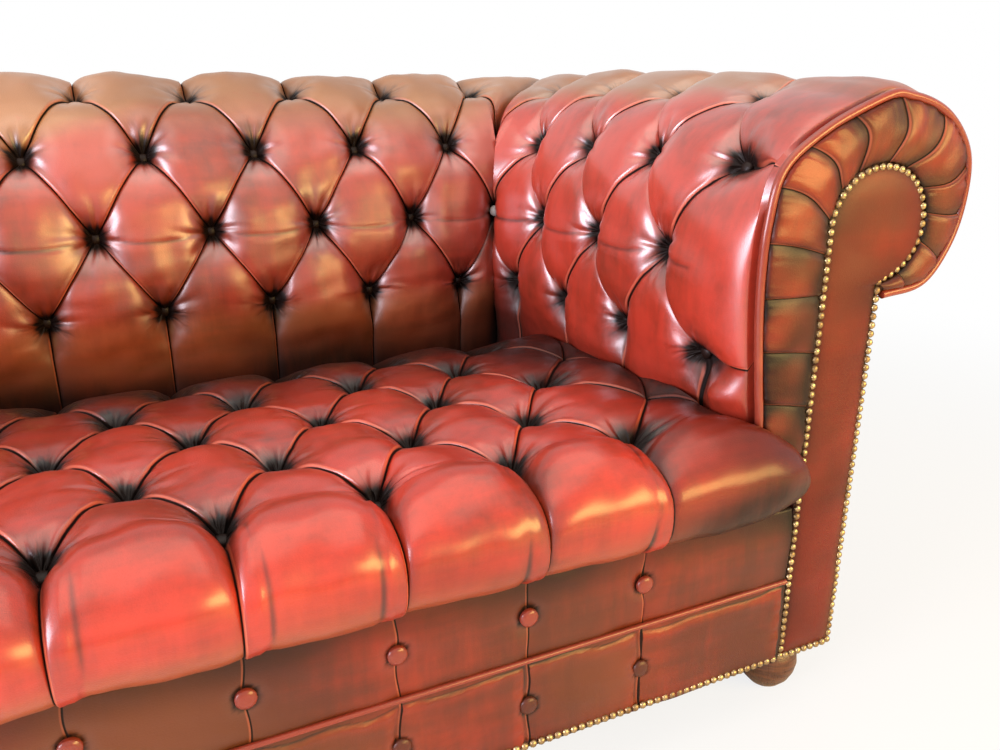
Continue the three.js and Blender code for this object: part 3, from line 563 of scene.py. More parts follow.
class Buttoning:
    """Reads the stuffing of one pad: a field of diamonds that opens into straight pleats."""

    def __init__(
        self, low_row, high_row, high_a, pitch, row_pitch, opening, shallow_rows=(), creased_rows=(),
    ):
        self.low_row, self.high_row = low_row, high_row
        self.high_a = high_a
        self.pitch, self.row_pitch = pitch, row_pitch
        self.open_lift, self.open_rows = opening
        self.shallow_rows, self.creased_rows = shallow_rows, creased_rows

    def read(self, a, v, offset=0.0, last_button=ENDLESS):
        """Reads the lattice at places; buttons past `last_button` are left out."""
        # Two sets of slanting pleats cross here: p counts one set and q the other. The stuffing
        # rises between them, and where the diamonds open, the pleats themselves rise too.
        spot = Spot()
        inside_a = np.clip(a, -ENDLESS, self.high_a)
        inside_v = np.clip(v, self.low_row, self.high_row)
        p = inside_a + offset - inside_v / 2
        q = inside_a + offset + inside_v / 2
        share_p = np.clip(p - np.floor(p + 1e-7), 0, 1)
        share_q = np.clip(q - np.floor(q + 1e-7), 0, 1)
        past_rows = np.abs(v - inside_v)
        past_end = np.abs(a - inside_a)
        open_end = soft_step(0, END_OPENING, past_end)
        opened = np.maximum(soft_step(0, self.open_rows, past_rows), open_end)
        rise_p = lerp(pleat_rise(share_p), self.open_lift, opened)
        rise_q = lerp(pleat_rise(share_q), self.open_lift, opened)
        across_p = rise_q + (1 - rise_q) * swell(share_p, UPPER_FALL, LOWER_FALL)
        across_q = rise_p + (1 - rise_p) * swell(share_q, LOWER_FALL, UPPER_FALL)
        height = across_p * across_q
        corner = soft_step(0, 0.3, past_end) * soft_step(0, 0.5, past_rows)
        height = height + (1 - height) * corner

        # The nearest button, and how much it draws in.
        nearest_p, nearest_q = np.ceil(p - 0.5), np.floor(q + 0.5)
        button_a = (nearest_p + nearest_q) / 2 - offset
        button_v = nearest_q - nearest_p
        spot.along = (a - button_a) * self.pitch
        spot.up = (v - button_v) * self.row_pitch
        spot.away = np.hypot(spot.along, spot.up)
        spot.deep = np.ones_like(spot.away)
        for row in self.shallow_rows:
            shallow = np.abs(button_v - row) < 0.5
            flatter = height + (1 - height) * 0.14 * np.exp(-((spot.away / 0.035) ** 2))
            height = np.where(shallow, flatter, height)
            spot.deep = np.where(shallow, 0.9, spot.deep)
        past_last = np.abs(button_a) > last_button
        filled = height + (1 - height) * 0.45 * np.exp(-((spot.away / 0.045) ** 2))
        height = np.where(past_last, filled, height)
        none = (button_v < self.low_row - 0.5) | (button_v > self.high_row + 0.5) | past_last
        spot.away = np.where(none, 1.0, spot.away)
        spot.height = height

        # Distance to the nearest pleat and the side it is on; past the last row pleats run straight.
        slant = 1 / math.hypot(1 / self.pitch, 0.5 / self.row_pitch)
        straight = np.maximum(soft_step(0, 0.9, past_rows), open_end)
        straight_span = np.where(past_rows > past_end, self.pitch, 2 * self.row_pitch)
        span = lerp(slant, straight_span, straight)
        off_p = np.minimum(share_p, 1 - share_p)
        off_q = np.minimum(share_q, 1 - share_q)
        spot.away_seam = np.minimum(off_p, off_q) * span + corner * 0.05
        upper_p = np.where(share_p > 0.5, 1.0, -1.0)
        upper_q = np.where(share_q > 0.5, -1.0, 1.0)
        spot.side = np.where(off_p <= off_q + 1e-9, upper_p, upper_q)
        spot.side = np.where(spot.away_seam < 1e-5, 0.0, spot.side)

        # Creases stretched from button to button, sagging a little between them.
        spot.crease = np.zeros_like(spot.away)
        for row in self.creased_rows:
            between = a + offset - row / 2
            sag = CREASE_SAG * np.sin(math.pi * (between - np.floor(between)))
            line = np.exp(-(((v - row + sag) * self.row_pitch / CREASE_WIDTH) ** 2))
            line *= soft_step(0.014, 0.04, spot.away) * (past_end == 0)
            spot.crease = np.maximum(spot.crease, line)
        return spot


print("stretch creases sag by", CREASE_SAG, "of a row")


# %% Small unevenness and folds
RIPPLE_WAVES = 7
FOLD_EDGE = 1.3 * MM
PIT_CREASE = 2.6 * MM
LONG_CREASE = 1.3 * MM
STRETCH_CREASE = 1.3 * MM


def ripple(x, y, z, size, seed):
    """A soft random swell of about -1 to 1 that repeats nowhere on the sofa."""
    chance = np.random.default_rng(seed)
    total = np.zeros_like(x)
    for _ in range(RIPPLE_WAVES):
        way = chance.normal(size=3)
        way /= np.linalg.norm(way)
        across = x * way[0] + y * way[1] + z * way[2]
        total += np.sin(across * 2 * math.pi / size + chance.uniform(0, 6.3))
    return total / 3.5


def folds(spot, a, v):
    """Heights in metres: creases round each button, the folded edge of each pleat, stretch lines."""
    turn = np.arctan2(spot.up, spot.along)
    wander = 1.9 * np.sin(2.3 * a + 3.1 * v)
    wave = 0.5 + 0.5 * np.cos(8 * turn + wander + 30 * spot.away)
    rise = -PIT_CREASE * spot.deep * wave ** 3 * np.exp(-((spot.away - 0.019) / 0.016) ** 2)
    long_wave = 0.5 + 0.5 * np.cos(5 * turn + 2.1 * wander)
    rise -= LONG_CREASE * spot.deep * long_wave ** 6 * np.exp(-((spot.away - 0.036) / 0.018) ** 2)
    clear = soft_step(0.012, 0.03, spot.away)
    upper = FOLD_EDGE * np.exp(-(((spot.away_seam - 2.4 * MM) / (2.2 * MM)) ** 2))
    lower = -0.7 * MM * np.exp(-((spot.away_seam / (3 * MM)) ** 2))
    rise += clear * np.where(spot.side > 0, upper, lower)
    rise -= STRETCH_CREASE * spot.crease
    return rise


sample = np.linspace(0, 1, 50)
print("ripple reaches", round(float(np.abs(ripple(sample, sample, sample, 0.1, 3)).max()), 2))


# %% [markdown]
# ## From flat leather to a pad
# The cover of a pad is one hide, drawn over the stuffing. Simulated cloth could be pulled down at
# each button, but it slips and wrinkles differently every time, and leather that is tied this
# tightly has nowhere to slip. So the flat sheet is placed on the sofa by sums: every vertex takes
# its base point from the section, is pushed out by the stuffing there, and keeps how near it is to
# pleats and buttons for the leather.


# %% Making a pad from its flat sheet
def new_object(name, mesh, material):
    made = bpy.data.objects.new(name, mesh)
    bpy.context.scene.collection.objects.link(made)
    mesh.materials.clear()
    mesh.materials.append(material)
    for polygon in mesh.polygons:
        polygon.use_smooth = True
    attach(made, "root")
    return made


def keep_attribute(mesh, name, values):
    """Stores one number or one vector for each vertex."""
    values = np.ascontiguousarray(values, dtype=np.float32)
    if values.ndim == 1:
        mesh.attributes.new(name, "FLOAT", "POINT").data.foreach_set("value", values)
    else:
        made = mesh.attributes.new(name, "FLOAT_VECTOR", "POINT")
        made.data.foreach_set("vector", values.ravel())


def turn_faces_out(mesh):
    shell = bmesh.new()
    shell.from_mesh(mesh)
    bmesh.ops.recalc_face_normals(shell, faces=shell.faces)
    shell.to_mesh(mesh)
    shell.free()


def pad_from_flat(name, flat, place, material):
    """Turns the flat sheet into a mesh, and `place` gives each vertex its point and its marks."""
    mesh = bpy.data.meshes.new(name)
    flat.to_mesh(mesh)
    flat.free()
    points = np.empty(len(mesh.vertices) * 3)
    mesh.vertices.foreach_get("co", points)
    a, v, behind = points.reshape(-1, 3).T
    x, y, z, marks = place(a, v, behind > 0.5)
    mesh.vertices.foreach_set("co", np.column_stack((x, y, z)).ravel())
    in_front = np.where(behind > 0.5, 0, 1)
    for mark, values in marks.items():
        keep_attribute(mesh, mark, (values.T * in_front).T)
    turn_faces_out(mesh)
    print(name, len(mesh.vertices), "vertices", len(mesh.polygons), "faces")
    return new_object(name, mesh, material)


# %% Marks for the leather
SEAM_REACH = 20 * MM
PIT_REACH = 60 * MM


def leather_marks(spot, away_seam, fade, dirt):
    nothing = np.zeros_like(away_seam)
    return {
        "seam": np.clip(1 - away_seam / SEAM_REACH, 0, 1),
        "side": spot.side,
        "pit": np.clip(1 - spot.away / PIT_REACH, 0, 1) * spot.deep,
        "spoke": np.column_stack((spot.along, spot.up, nothing)),
        "crease": spot.crease,
        "crown": np.clip(spot.height, 0, 1),
        "fade": np.clip(fade, 0, 1),
        "dirt": np.clip(dirt, 0, 1),
    }


print("marks reach", SEAM_REACH, "m from a pleat and", PIT_REACH, "m from a button")

# %% [markdown]
# ## The back
# The back has ten pitches between its corner buttons. The last half pitch at each end is a wedge
# that runs up from an extra button and meets the arm in a mitred seam over the roll. Back and arms
# could be cut out of one another with a boolean, but that leaves ragged folds in the corner, so the
# pillows are laid to end exactly on the mitre.

# %% Pillows of a rolled pad
SPINE_DEPTH = 0.5 * ROLL_DEPTH
SPINE_HEIGHT = 0.76 * PAD_HEIGHT
SPINE_ROW = 3
MITRE_ROUNDING = 40 * MM
half_back = BACK_PITCHES // 2
roll_rows = rows_between(-3, 9, -1, 2)


def rows_from(rows, low, high):
    return [row for row in rows if low - 1e-9 <= row <= high + 1e-9]


def mitre_a(row):
    """How far past the corner button the mitre lies, in pitches."""
    return 0.5 * min(max(row, 0), 1)


def mitre_out(depth):
    """How far the mitre lies outside the inner corner at a depth behind the buttons."""
    deep = np.maximum(depth, 0)
    return (1 + CORNER_FILL / ROLL_DEPTH) * deep * (1 - np.exp(-deep / MITRE_ROUNDING))


def lay_roll(flat, first, last, low_limit, high_limit):
    """Every pillow of a rolled pad whose middle lies from first to last, cut at its two limits."""
    for twice in range(round(2 * first), round(2 * last) + 1):
        middle = twice / 2
        whole = middle == int(middle)
        spans = [(0, 2, 1), (-3, 0, -1)] if whole else [(-1, 1, 0), (1, 9, 2)]
        for low, high, centre in spans:

            def half_width(row, centre=centre):
                if centre == 2 and row > 2 or centre == -1 and row < -1:
                    return 0.5
                return 0.5 * (1 - abs(row - centre))

            def left(row, middle=middle, half_width=half_width):
                return min(max(middle - half_width(row), low_limit(row)), high_limit(row))

            def right(row, middle=middle, half_width=half_width):
                return min(max(middle + half_width(row), low_limit(row)), high_limit(row))

            rows = rows_from(roll_rows, low, high)
            if max(right(row) - left(row) for row in rows) > 1e-6:
                lay_pillow(flat, rows, left, right)


print("rows round the roll", len(roll_rows))

# %% Buttoning, section and corner of the back
back_buttoning = Buttoning(-1, 2, ENDLESS, BACK_PITCH, ROW_PITCH, ROLL_OPENING, (2,), (0,))


def section_point(v, height, crown_scale):
    depth_way, height_way = section_normal(roll_depth_at, roll_height_at, v)
    out = height * roll_crown_at(v) * crown_scale
    return roll_depth_at(v) + depth_way * out, pad_foot_z + roll_height_at(v) + height_way * out


def to_mitre(a, v):
    """Distance from the corner's crease or mitre, in pitches."""
    return np.where(v > 1, 0.5, np.where(v > 0, 0.5 * v, 0.0)) - a


def corner_share(gap, v):
    """How much of the stuffing is left near the corner: none in the deep crease, half over the roll."""
    low = 1 - np.exp(-gap / 0.16)
    high = 1 - 0.5 * np.exp(-gap / 0.05)
    return lerp(low, high, soft_step(0.2, 1.3, v))


print("stuffing left at the mitre", round(float(corner_share(0.0, 2.0)), 2))


# %% Wear, painted shade and place of the back's leather
def back_wear_and_painted_shade(a, v, x, y, z):
    """Browned over the roll and in patches lower down; painted shade over the foot where the seat meets it,
    less to the right; glaze in random patches; darker on the upper left.
    """
    fade = soft_step(0.5, 2.0, v) * (0.9 + 0.2 * ripple(x, y, z, 0.4, 5))
    fade += 0.5 * soft_step(0.0, 0.8, ripple(x, y, z, 0.4, 6)) * soft_step(-2, -0.5, v)
    fade += 0.45 * soft_step(-0.6, -1.2, v)
    # Painted shade where the back meets the seat, darkest at the foot; glaze in random patches; darker on the
    # upper left.
    dirt = 0.86 * soft_step(-0.8, -2.3, v) * (1 - 0.35 * soft_step(-0.5, 1.5, a))
    dirt += 0.5 * soft_step(-2.0, -2.8, v) + 0.3 * soft_step(-0.1, 0.8, ripple(x, y, z, 0.3, 9))
    dirt += 0.22 * soft_step(0, 1.2, v) * soft_step(1.5, -2, a)
    return fade, dirt


def place_back(a, v, behind):
    spot = back_buttoning.read(a, v)
    gap = to_mitre(np.abs(a) - half_back, v)
    spot.height = spot.height * corner_share(np.maximum(gap, 0), v)
    plump = 1 + 0.09 * np.sin(5.1 * a + 2.0 * v) * np.cos(1.7 * a)
    depth, z = section_point(v, spot.height, plump)
    straight = np.minimum(np.abs(a), half_back) * BACK_PITCH
    past = np.clip(np.abs(a) - half_back, 0, 0.5) / 0.5
    x = np.sign(a) * (straight + past * mitre_out(depth))
    y = back_y + depth
    uneven = 2.2 * MM * ripple(x, y, z, 0.11, 3) + 0.8 * MM * ripple(x, y, z, 0.035, 4)
    swell_by = uneven * spot.height + folds(spot, a, v)
    depth_way, height_way = section_normal(roll_depth_at, roll_height_at, v)
    y = y + depth_way * swell_by
    z = z + height_way * swell_by
    away_seam = np.minimum(spot.away_seam, np.maximum(gap, 0) * BACK_PITCH)
    marks = leather_marks(spot, away_seam, *back_wear_and_painted_shade(a, v, x, y, z))
    y = np.where(behind, back_y + SPINE_DEPTH, y)
    z = np.where(behind, pad_foot_z + SPINE_HEIGHT, z)
    x = np.where(behind, np.sign(a) * (straight + past * mitre_out(np.full_like(a, SPINE_DEPTH))), x)
    return x, y, z, marks


print("half of the back", half_back, "pitches of", BACK_PITCH, "m")

# %% Back pad
flat = bmesh.new()
lay_roll(
    flat, -half_back - 0.5, half_back + 0.5,
    lambda row: -half_back - mitre_a(row), lambda row: half_back + mitre_a(row),
)
close_behind(flat, SPINE_ROW)
back_pad = pad_from_flat("back_leather", flat, place_back, back_leather)
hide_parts("back_pad")

# %% [markdown]
# ## The arms
# Each arm carries on from the mitre with a first pitch that is a little shorter, and its last half
# pitch opens at the front, where the leather turns over a piped edge. The left arm is the right one
# with its sides swapped. A mirror modifier could do that, but each arm stands for its own part of
# the frame and needs its own mesh, so the same rules lay both and only the last step changes sides.

# %% Pillows of an arm
ARM_FRONT = 0.5
arm_open = ARM_PITCHES - ARM_FRONT
arm_buttoning = Buttoning(-1, 2, arm_open, ARM_PITCH, ROW_PITCH, ROLL_OPENING, (2,), (0,))


def lay_arm(flat):
    """The pillows of one arm; those by the front edge run on to it."""
    lay_roll(flat, -0.5, ARM_PITCHES - 1, lambda row: -mitre_a(row), lambda row: ARM_PITCHES)
    front = arm_open

    def middle_left(row):
        return front - 0.5 * (1 - abs(row))

    def upper_left(row):
        return front - 0.5 * min(row - 1, 1)

    lay_pillow(flat, rows_from(roll_rows, -1, 1), middle_left, lambda row: ARM_PITCHES)
    lay_pillow(flat, rows_from(roll_rows, 1, 9), upper_left, lambda row: ARM_PITCHES)
    lay_pillow(flat, rows_from(roll_rows, -3, -1), lambda row: front, lambda row: ARM_PITCHES)


def arm_spread(a, depth):
    """Across and along places of the arm's columns at a depth behind its buttons."""
    from_corner = np.where(a < 1, np.maximum(a, 0) * corner_pitch, corner_pitch + (a - 1) * ARM_PITCH)
    past = np.clip(-a, 0, 0.5) / 0.5
    filled = arm_plane + depth - CORNER_FILL * (1 - depth / ROLL_DEPTH)
    x = lerp(arm_plane + depth, filled, np.clip(1 - a, 0, 1) ** 2)
    x = lerp(x, inner_corner + mitre_out(depth), past)
    y = back_y - from_corner + past * depth
    return x, y


print("arm opens", arm_open, "pitches from the corner")


# %% Wear, painted shade and place of an arm's leather
def arm_wear_and_painted_shade(a, v):
    """Browned over the roll, least near the front; painted shade at the foot and in the corner."""
    fade = soft_step(1.0, 2.3, v) * (1 - 0.8 * soft_step(1.2, 3.6, a))
    fade += 0.35 * soft_step(1.2, 2.4, v)
    # Painted shade at the arm's foot and in its corner by the seat.
    dirt = 0.5 * soft_step(-0.4, -2.2, v) + 0.45 * soft_step(1.8, 0.0, a) * soft_step(0.8, -1.2, v)
    return fade, dirt


def place_arm(a, v, behind):
    spot = arm_buttoning.read(a, v)
    gap = to_mitre(-a, v)
    spot.height = spot.height * corner_share(np.maximum(gap, 0), v)
    plump = 1 + 0.09 * np.sin(4.3 * a + 2.6 * v + 1) * np.cos(1.9 * a)
    low_front = 1 - 0.55 * soft_step(1.2, 3.6, a) * soft_step(1, 2, v)
    depth, z = section_point(v, spot.height, plump * low_front)
    uneven = 2.2 * MM * ripple(a, v, depth, 1.1, 7) + 0.8 * MM * ripple(a, v, depth, 0.4, 8)
    swell_by = uneven * spot.height + folds(spot, a, v)
    depth_way, height_way = section_normal(roll_depth_at, roll_height_at, v)
    depth = depth + depth_way * swell_by
    z = z + height_way * swell_by
    to_front = np.clip((a - arm_open) / ARM_FRONT, 0, 1)
    turned = 1 - (1 - to_front ** 3) ** 0.6
    depth = lerp(depth, front_depth_at(v), turned)
    z = lerp(z, pad_foot_z + front_height_at(v), turned)
    x, y = arm_spread(a, depth)
    away_front = (ARM_PITCHES - a) * ARM_PITCH + 0.01
    away_seam = np.minimum(spot.away_seam, np.minimum(np.maximum(gap, 0) * ARM_PITCH, away_front))
    marks = leather_marks(spot, away_seam, *arm_wear_and_painted_shade(a, v))
    spine_x, spine_y = arm_spread(a, np.full_like(a, SPINE_DEPTH))
    x = np.where(behind, spine_x, x)
    y = np.where(behind, spine_y, y)
    z = np.where(behind, pad_foot_z + SPINE_HEIGHT, z)
    return x, y, z, marks


def place_left_arm(a, v, behind):
    x, y, z, marks = place_arm(a, v, behind)
    return -x, y, z, marks


print("browning over the arm", [round(float(arm_wear_and_painted_shade(a, 2.3)[0]), 2) for a in range(4)])

# %% Arm pads
for side, place in (("right", place_arm), ("left", place_left_arm)):
    flat = bmesh.new()
    lay_arm(flat)
    close_behind(flat, SPINE_ROW)
    arm_pad = pad_from_flat(f"arm_leather_{side}", flat, place, arm_leather)
    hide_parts(f"arm_pad_{side}")

# %% [markdown]
# ## The seat
# The seat is buttoned in five rows. Its pleats run straight over the front lip and under it, and
# the lip reaches out past the arms in two round ends. A lip could be a second piece laid in front,
# but on the real sofa seat and lip are one hide, so the rows simply run on past the first buttons.

# %% Section of the seat
# Depths are measured from the front of the facings, and heights and crowns are shares of the crown.
SEAT_ROWS = [-3, -2.5, -2, -1.5, -1, 0, 0.5, 1, 1.5, 2, 2.5, 3, 3.5, 4, 5, 6]
LIP_REACH = 45 * MM
SEAT_BACK_END = 560 * MM
SEAT_CROWN = 85 * MM
SEAT_DEPTHS = [
    0.22 * LIP_REACH, -0.4 * LIP_REACH, -0.72 * LIP_REACH, -0.62 * LIP_REACH, -0.1 * LIP_REACH,
    *(SEAT_FIRST_ROW + row * SEAT_ROW_PITCH for row in SEAT_ROWS[5:14]), 520 * MM, SEAT_BACK_END,
]
SEAT_HEIGHTS = [0.06, 0.16, 0.4, 0.8, 1, 0.98, 1.01, 1.01, 1, 0.98, 0.96, 0.94, 0.92, 0.88, 0.68, 0.3]
SEAT_CROWNS = [0, 0.07, 0.14, 0.26, 0.37, 0.4, 0.39, 0.38, 0.38, 0.38, 0.38, 0.37, 0.36, 0.34, 0.15, 0]
seat_depth_at = through(SEAT_ROWS, SEAT_DEPTHS)
seat_height_at = through(SEAT_ROWS, np.array(SEAT_HEIGHTS) * SEAT_CROWN)
seat_crown_at = through(SEAT_ROWS, np.array(SEAT_CROWNS) * SEAT_CROWN)
seat_side = arm_plane - 28 * MM
lip_side = arm_plane + 57 * MM
seat_open = SEAT_PITCHES / 2
seat_end = seat_side / SEAT_PITCH
seat_rows = rows_between(-3, 6, -1, 4)
seat_buttoning = Buttoning(0, 4, ENDLESS, SEAT_PITCH, SEAT_ROW_PITCH, SEAT_OPENING)
print("seat", round(2 * seat_side, 3), "m between the arms and", round(2 * lip_side, 3), "m at the lip")


# %% Pillows of the seat
def lay_seat(flat):
    """Diamonds all over the seat, cut at its two sides, and straight pleats at the lip and the back."""
    for twice in range(-SEAT_PITCHES - 2, SEAT_PITCHES + 3):
        middle = twice / 2
        on_even = (twice + SEAT_PITCHES) % 2 == 0
        centres = (1, 3) if on_even else (0, 2, 4)
        for centre in centres:
            low = -3 if centre == 0 else centre - 1
            high = 6 if centre == 4 else centre + 1

            def half_width(row, centre=centre):
                if centre == 0 and row < 0 or centre == 4 and row > 4:
                    return 0.5
                return 0.5 * (1 - abs(row - centre))

            def left(row, middle=middle, half_width=half_width):
                return max(min(middle - half_width(row), seat_end), -seat_end)

            def right(row, middle=middle, half_width=half_width):
                return max(min(middle + half_width(row), seat_end), -seat_end)

            lay_pillow(flat, rows_from(seat_rows, low, high), left, right)


print("rows of the seat", len(seat_rows))

# %% Folds over the lip
# The pleats over the lip are folded outwards in the middle of the seat and inwards further out.
LIP_FOLD_TURN = 2
LIP_TUCK = 21 * MM
LIP_TUCK_WIDTH = 3.2 * MM


def lip_folds(a, v):
    """Over the lip each pleat has a raised strip beside it, which ends in a tuck: both as shares."""
    over_lip = soft_step(-0.05, -0.4, v) * (np.abs(a) < seat_open)
    past_pleat = (np.abs(a) + 0.5 - np.floor(np.abs(a) + 0.5 + 1e-7)) * SEAT_PITCH
    past_pleat = np.where(np.abs(a) < LIP_FOLD_TURN, past_pleat, SEAT_PITCH - past_pleat)
    tuck_at = LIP_TUCK * soft_step(0.15, -0.85, v) + 2 * MM * np.sin(4 * v + a)
    tucked = over_lip * np.exp(-(((past_pleat - tuck_at) / LIP_TUCK_WIDTH) ** 2))
    strip = over_lip * soft_step(0, 4 * MM, past_pleat)
    strip = strip * soft_step(tuck_at + 2 * MM, tuck_at - 4 * MM, past_pleat)
    return strip, tucked


print("folds turn", LIP_FOLD_TURN, "pitches from the middle")


# %% Wear and painted shade of the seat
def seat_wear_and_painted_shade(a, v, away, x, y, z):
    """Browned under the lip; painted shade at the back, at both ends, under the lip, in a broken line below
    it and round the buttons.
    """
    out_to = np.abs(a)
    to_end = soft_step(-1.5, 4.5, out_to)
    fade = (0.6 - 0.1 * to_end) * soft_step(-1.45 + 0.2 * to_end, -2.2, v)
    fade += 0.25 * soft_step(0.3, 1, ripple(x, y, z, 0.3, 13))
    fade += 0.15 * soft_step(seat_open - 0.3, seat_open + 0.5, out_to)
    # Painted shade where the seat runs under the back, under the lip, at both ends by the arms, in a broken
    # line below the lip and round the buttons.
    dirt = 0.9 * soft_step(3.2, 5.0, v) + 0.72 * soft_step(1.5, 3.5, v) + 0.6 * soft_step(-2.3, -2.9, v)
    dirt += 0.8 * soft_step(seat_open - 0.4, seat_open + 0.6, out_to)
    dirt += 0.4 * to_end * soft_step(-1.4, -2.3, v)
    below_lip = (1 - 0.7 * to_end) * np.exp(-(((v + 1.75) / 0.3) ** 2))
    dirt += 0.5 * below_lip * soft_step(-0.3, 0.8, ripple(x, y, z, 0.16, 14))
    dirt += 0.3 * np.exp(-((away / 0.03) ** 2))
    dirt += 0.5 * soft_step(seat_end - 0.5, seat_end, out_to) * soft_step(-0.6, 0.4, v)
    return fade, dirt


print("seat opens", seat_open, "pitches from the middle and ends at", round(seat_end, 2))

# %% Place of the seat's leather
LIP_CORE_DEPTH = -12 * MM
LIP_CORE_HEIGHT = 40 * MM
SEAT_SPINE_DEPTH = 250 * MM
SEAT_SPINE_ROW = 1
DECK_GAP = 1 * MM


def place_seat(a, v, behind):
    spot = seat_buttoning.read(a, v, offset=0.5, last_button=seat_open + 0.1)
    plump = 1 + 0.08 * np.sin(4.7 * a + 2.2 * v) * np.cos(2.1 * a + 0.7)
    depth_way, height_way = section_normal(seat_depth_at, seat_height_at, v)
    out = spot.height * seat_crown_at(v) * plump
    depth = seat_depth_at(v) + depth_way * out
    z = deck_z + seat_height_at(v) + height_way * out
    past = np.clip((np.abs(a) - seat_open) / (seat_end - seat_open), 0, 1)
    on_lip = 1 - soft_step(-1.15, -0.55, v)
    reach = lerp(seat_side, lip_side, on_lip) - outer_button
    round_end = (1 - past ** 6) ** 0.5
    depth = lerp(depth, lerp(LIP_CORE_DEPTH, depth, round_end), on_lip)
    z = lerp(z, lerp(deck_z + LIP_CORE_HEIGHT, z, round_end), on_lip)
    z = z - 9 * MM * past ** 2 * soft_step(-2.2, -1.2, v) * on_lip
    spread = lerp(past * (1.8 - 0.8 * past), past, on_lip)
    x = np.sign(a) * (np.minimum(np.abs(a), seat_open) * SEAT_PITCH + reach * spread)
    y = front_y + depth
    fold_way = np.where(np.abs(a) < LIP_FOLD_TURN, -1, 1) * np.sign(a)
    spot.side = np.where(v < 0, spot.side * fold_way, spot.side)
    uneven = 2.4 * MM * ripple(x, y, z, 0.12, 11) + 0.8 * MM * ripple(x, y, z, 0.04, 12)
    swell_by = uneven * spot.height + folds(spot, a, v)
    strip, tucked = lip_folds(a, v)
    swell_by += 1.2 * MM * strip - 2.6 * MM * tucked
    spot.crease = tucked
    y = y + depth_way * swell_by
    z = z + height_way * swell_by
    fade, dirt = seat_wear_and_painted_shade(a, v, spot.away, x, y, z)
    # The raised strip beside each lip pleat keeps its red: it is less browned and gets less painted shade.
    fade, dirt = fade * (1 - 0.75 * strip), dirt * (1 - 0.5 * strip)
    marks = leather_marks(spot, spot.away_seam, fade, dirt)
    x = np.where(behind, np.sign(a) * np.minimum(np.abs(a) * SEAT_PITCH, seat_side), x)
    y = np.where(behind, front_y + SEAT_SPINE_DEPTH, y)
    z = np.where(behind, deck_z + DECK_GAP, z)
    return x, y, z, marks


print("lip reaches", round((lip_side - seat_side) / MM), "mm further out than the seat")

# %% Seat pad
flat = bmesh.new()
lay_seat(flat)
close_behind(flat, SEAT_SPINE_ROW)
seat_pad = pad_from_flat("seat_leather", flat, place_seat, red_leather)
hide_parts("seat_pad")

# %% [markdown]
# ## Buttons
# A button is a small metal dome covered in a scrap of the same leather and tied through the
# stuffing; here its leather is coloured near black, as painted shade of the pit it sits in. Linked
# copies would be lighter, but more than a hundred loose objects are hard to keep together. So one
# dome is made by spinning its outline and stamped into every pit, which gives one piece for the
# back, one for both arms and one for the seat.


# %% Stamping a turned shape
def turned(outline, steps):
    """A shape spun about Z from an outline of (radius, height), as a bmesh."""
    shape = bmesh.new()
    line = [shape.verts.new((radius, 0, height)) for radius, height in outline]
    edges = [shape.edges.new(pair) for pair in zip(line, line[1:])]
    bmesh.ops.spin(
        shape, geom=line + edges, cent=(0, 0, 0), axis=(0, 0, 1), dvec=(0, 0, 0),
        angle=2 * math.pi, steps=steps, use_merge=True,
    )
    bmesh.ops.remove_doubles(shape, verts=shape.verts, dist=NO_LENGTH)
    bmesh.ops.recalc_face_normals(shape, faces=shape.faces)
    return shape


def stamp(name, shape, places, material):
    """One object that holds the shape at every (point, outward direction)."""
    mark = bpy.data.meshes.new(name + " one")
    shape.to_mesh(mark)
    shape.free()
    whole = bmesh.new()
    for point, out in places:
        before = len(whole.verts)
        whole.from_mesh(mark)
        whole.verts.ensure_lookup_table()
        new = whole.verts[before:]
        turn = Vector((0, 0, 1)).rotation_difference(Vector(out)).to_matrix().to_4x4()
        bmesh.ops.transform(whole, matrix=Matrix.Translation(Vector(point)) @ turn, verts=new)
    mesh = bpy.data.meshes.new(name)
    whole.to_mesh(mesh)
    whole.free()
    bpy.data.meshes.remove(mark)
    print(name, len(places), "stamped")
    return new_object(name, mesh, material)


BUTTON_RADIUS = 8.5 * MM
BUTTON_SIDES = 14
BUTTON_OUTLINE = [
    (0, 5.5 * MM), (0.45 * BUTTON_RADIUS, 5 * MM), (0.85 * BUTTON_RADIUS, 3.2 * MM),
    (BUTTON_RADIUS, 0.5 * MM), (0.8 * BUTTON_RADIUS, -3 * MM),
]
print("button", round(2 * BUTTON_RADIUS / MM), "mm across")

# %% [markdown]
# ## Where the buttons sit
# Every button has to lie in the pit that was made for it, square to the leather. The pits could be
# searched for in the finished mesh, but the same rules that placed the leather also give the point
# of each button, so nothing has to be found. One button in the back's corner is worn pale and hangs
# a little out of its place.

# %% Places of the buttons in the back, arms and seat
BUTTON_RAISED = 2 * MM


def button_places(place, spots, way_at):
    """Point and outward direction of every button of a pad; those over the roll sink deeper."""
    places = []
    for a, v in spots:
        x, y, z, _ = place(np.array([float(a)]), np.array([float(v)]), np.array([False]))
        way = Vector(way_at(a, v)).normalized()
        raised = -BUTTON_RAISED if v == 2 and place is not place_seat else BUTTON_RAISED
        places.append((Vector((x[0], y[0], z[0])) + way * raised, way))
    return places


def back_way(a, v):
    depth_way, height_way = section_normal(roll_depth_at, roll_height_at, np.array([float(v)]))
    return (0, depth_way[0], height_way[0])


def arm_way(a, v):
    depth_way, height_way = section_normal(roll_depth_at, roll_height_at, np.array([float(v)]))
    return (depth_way[0], 0, height_way[0])


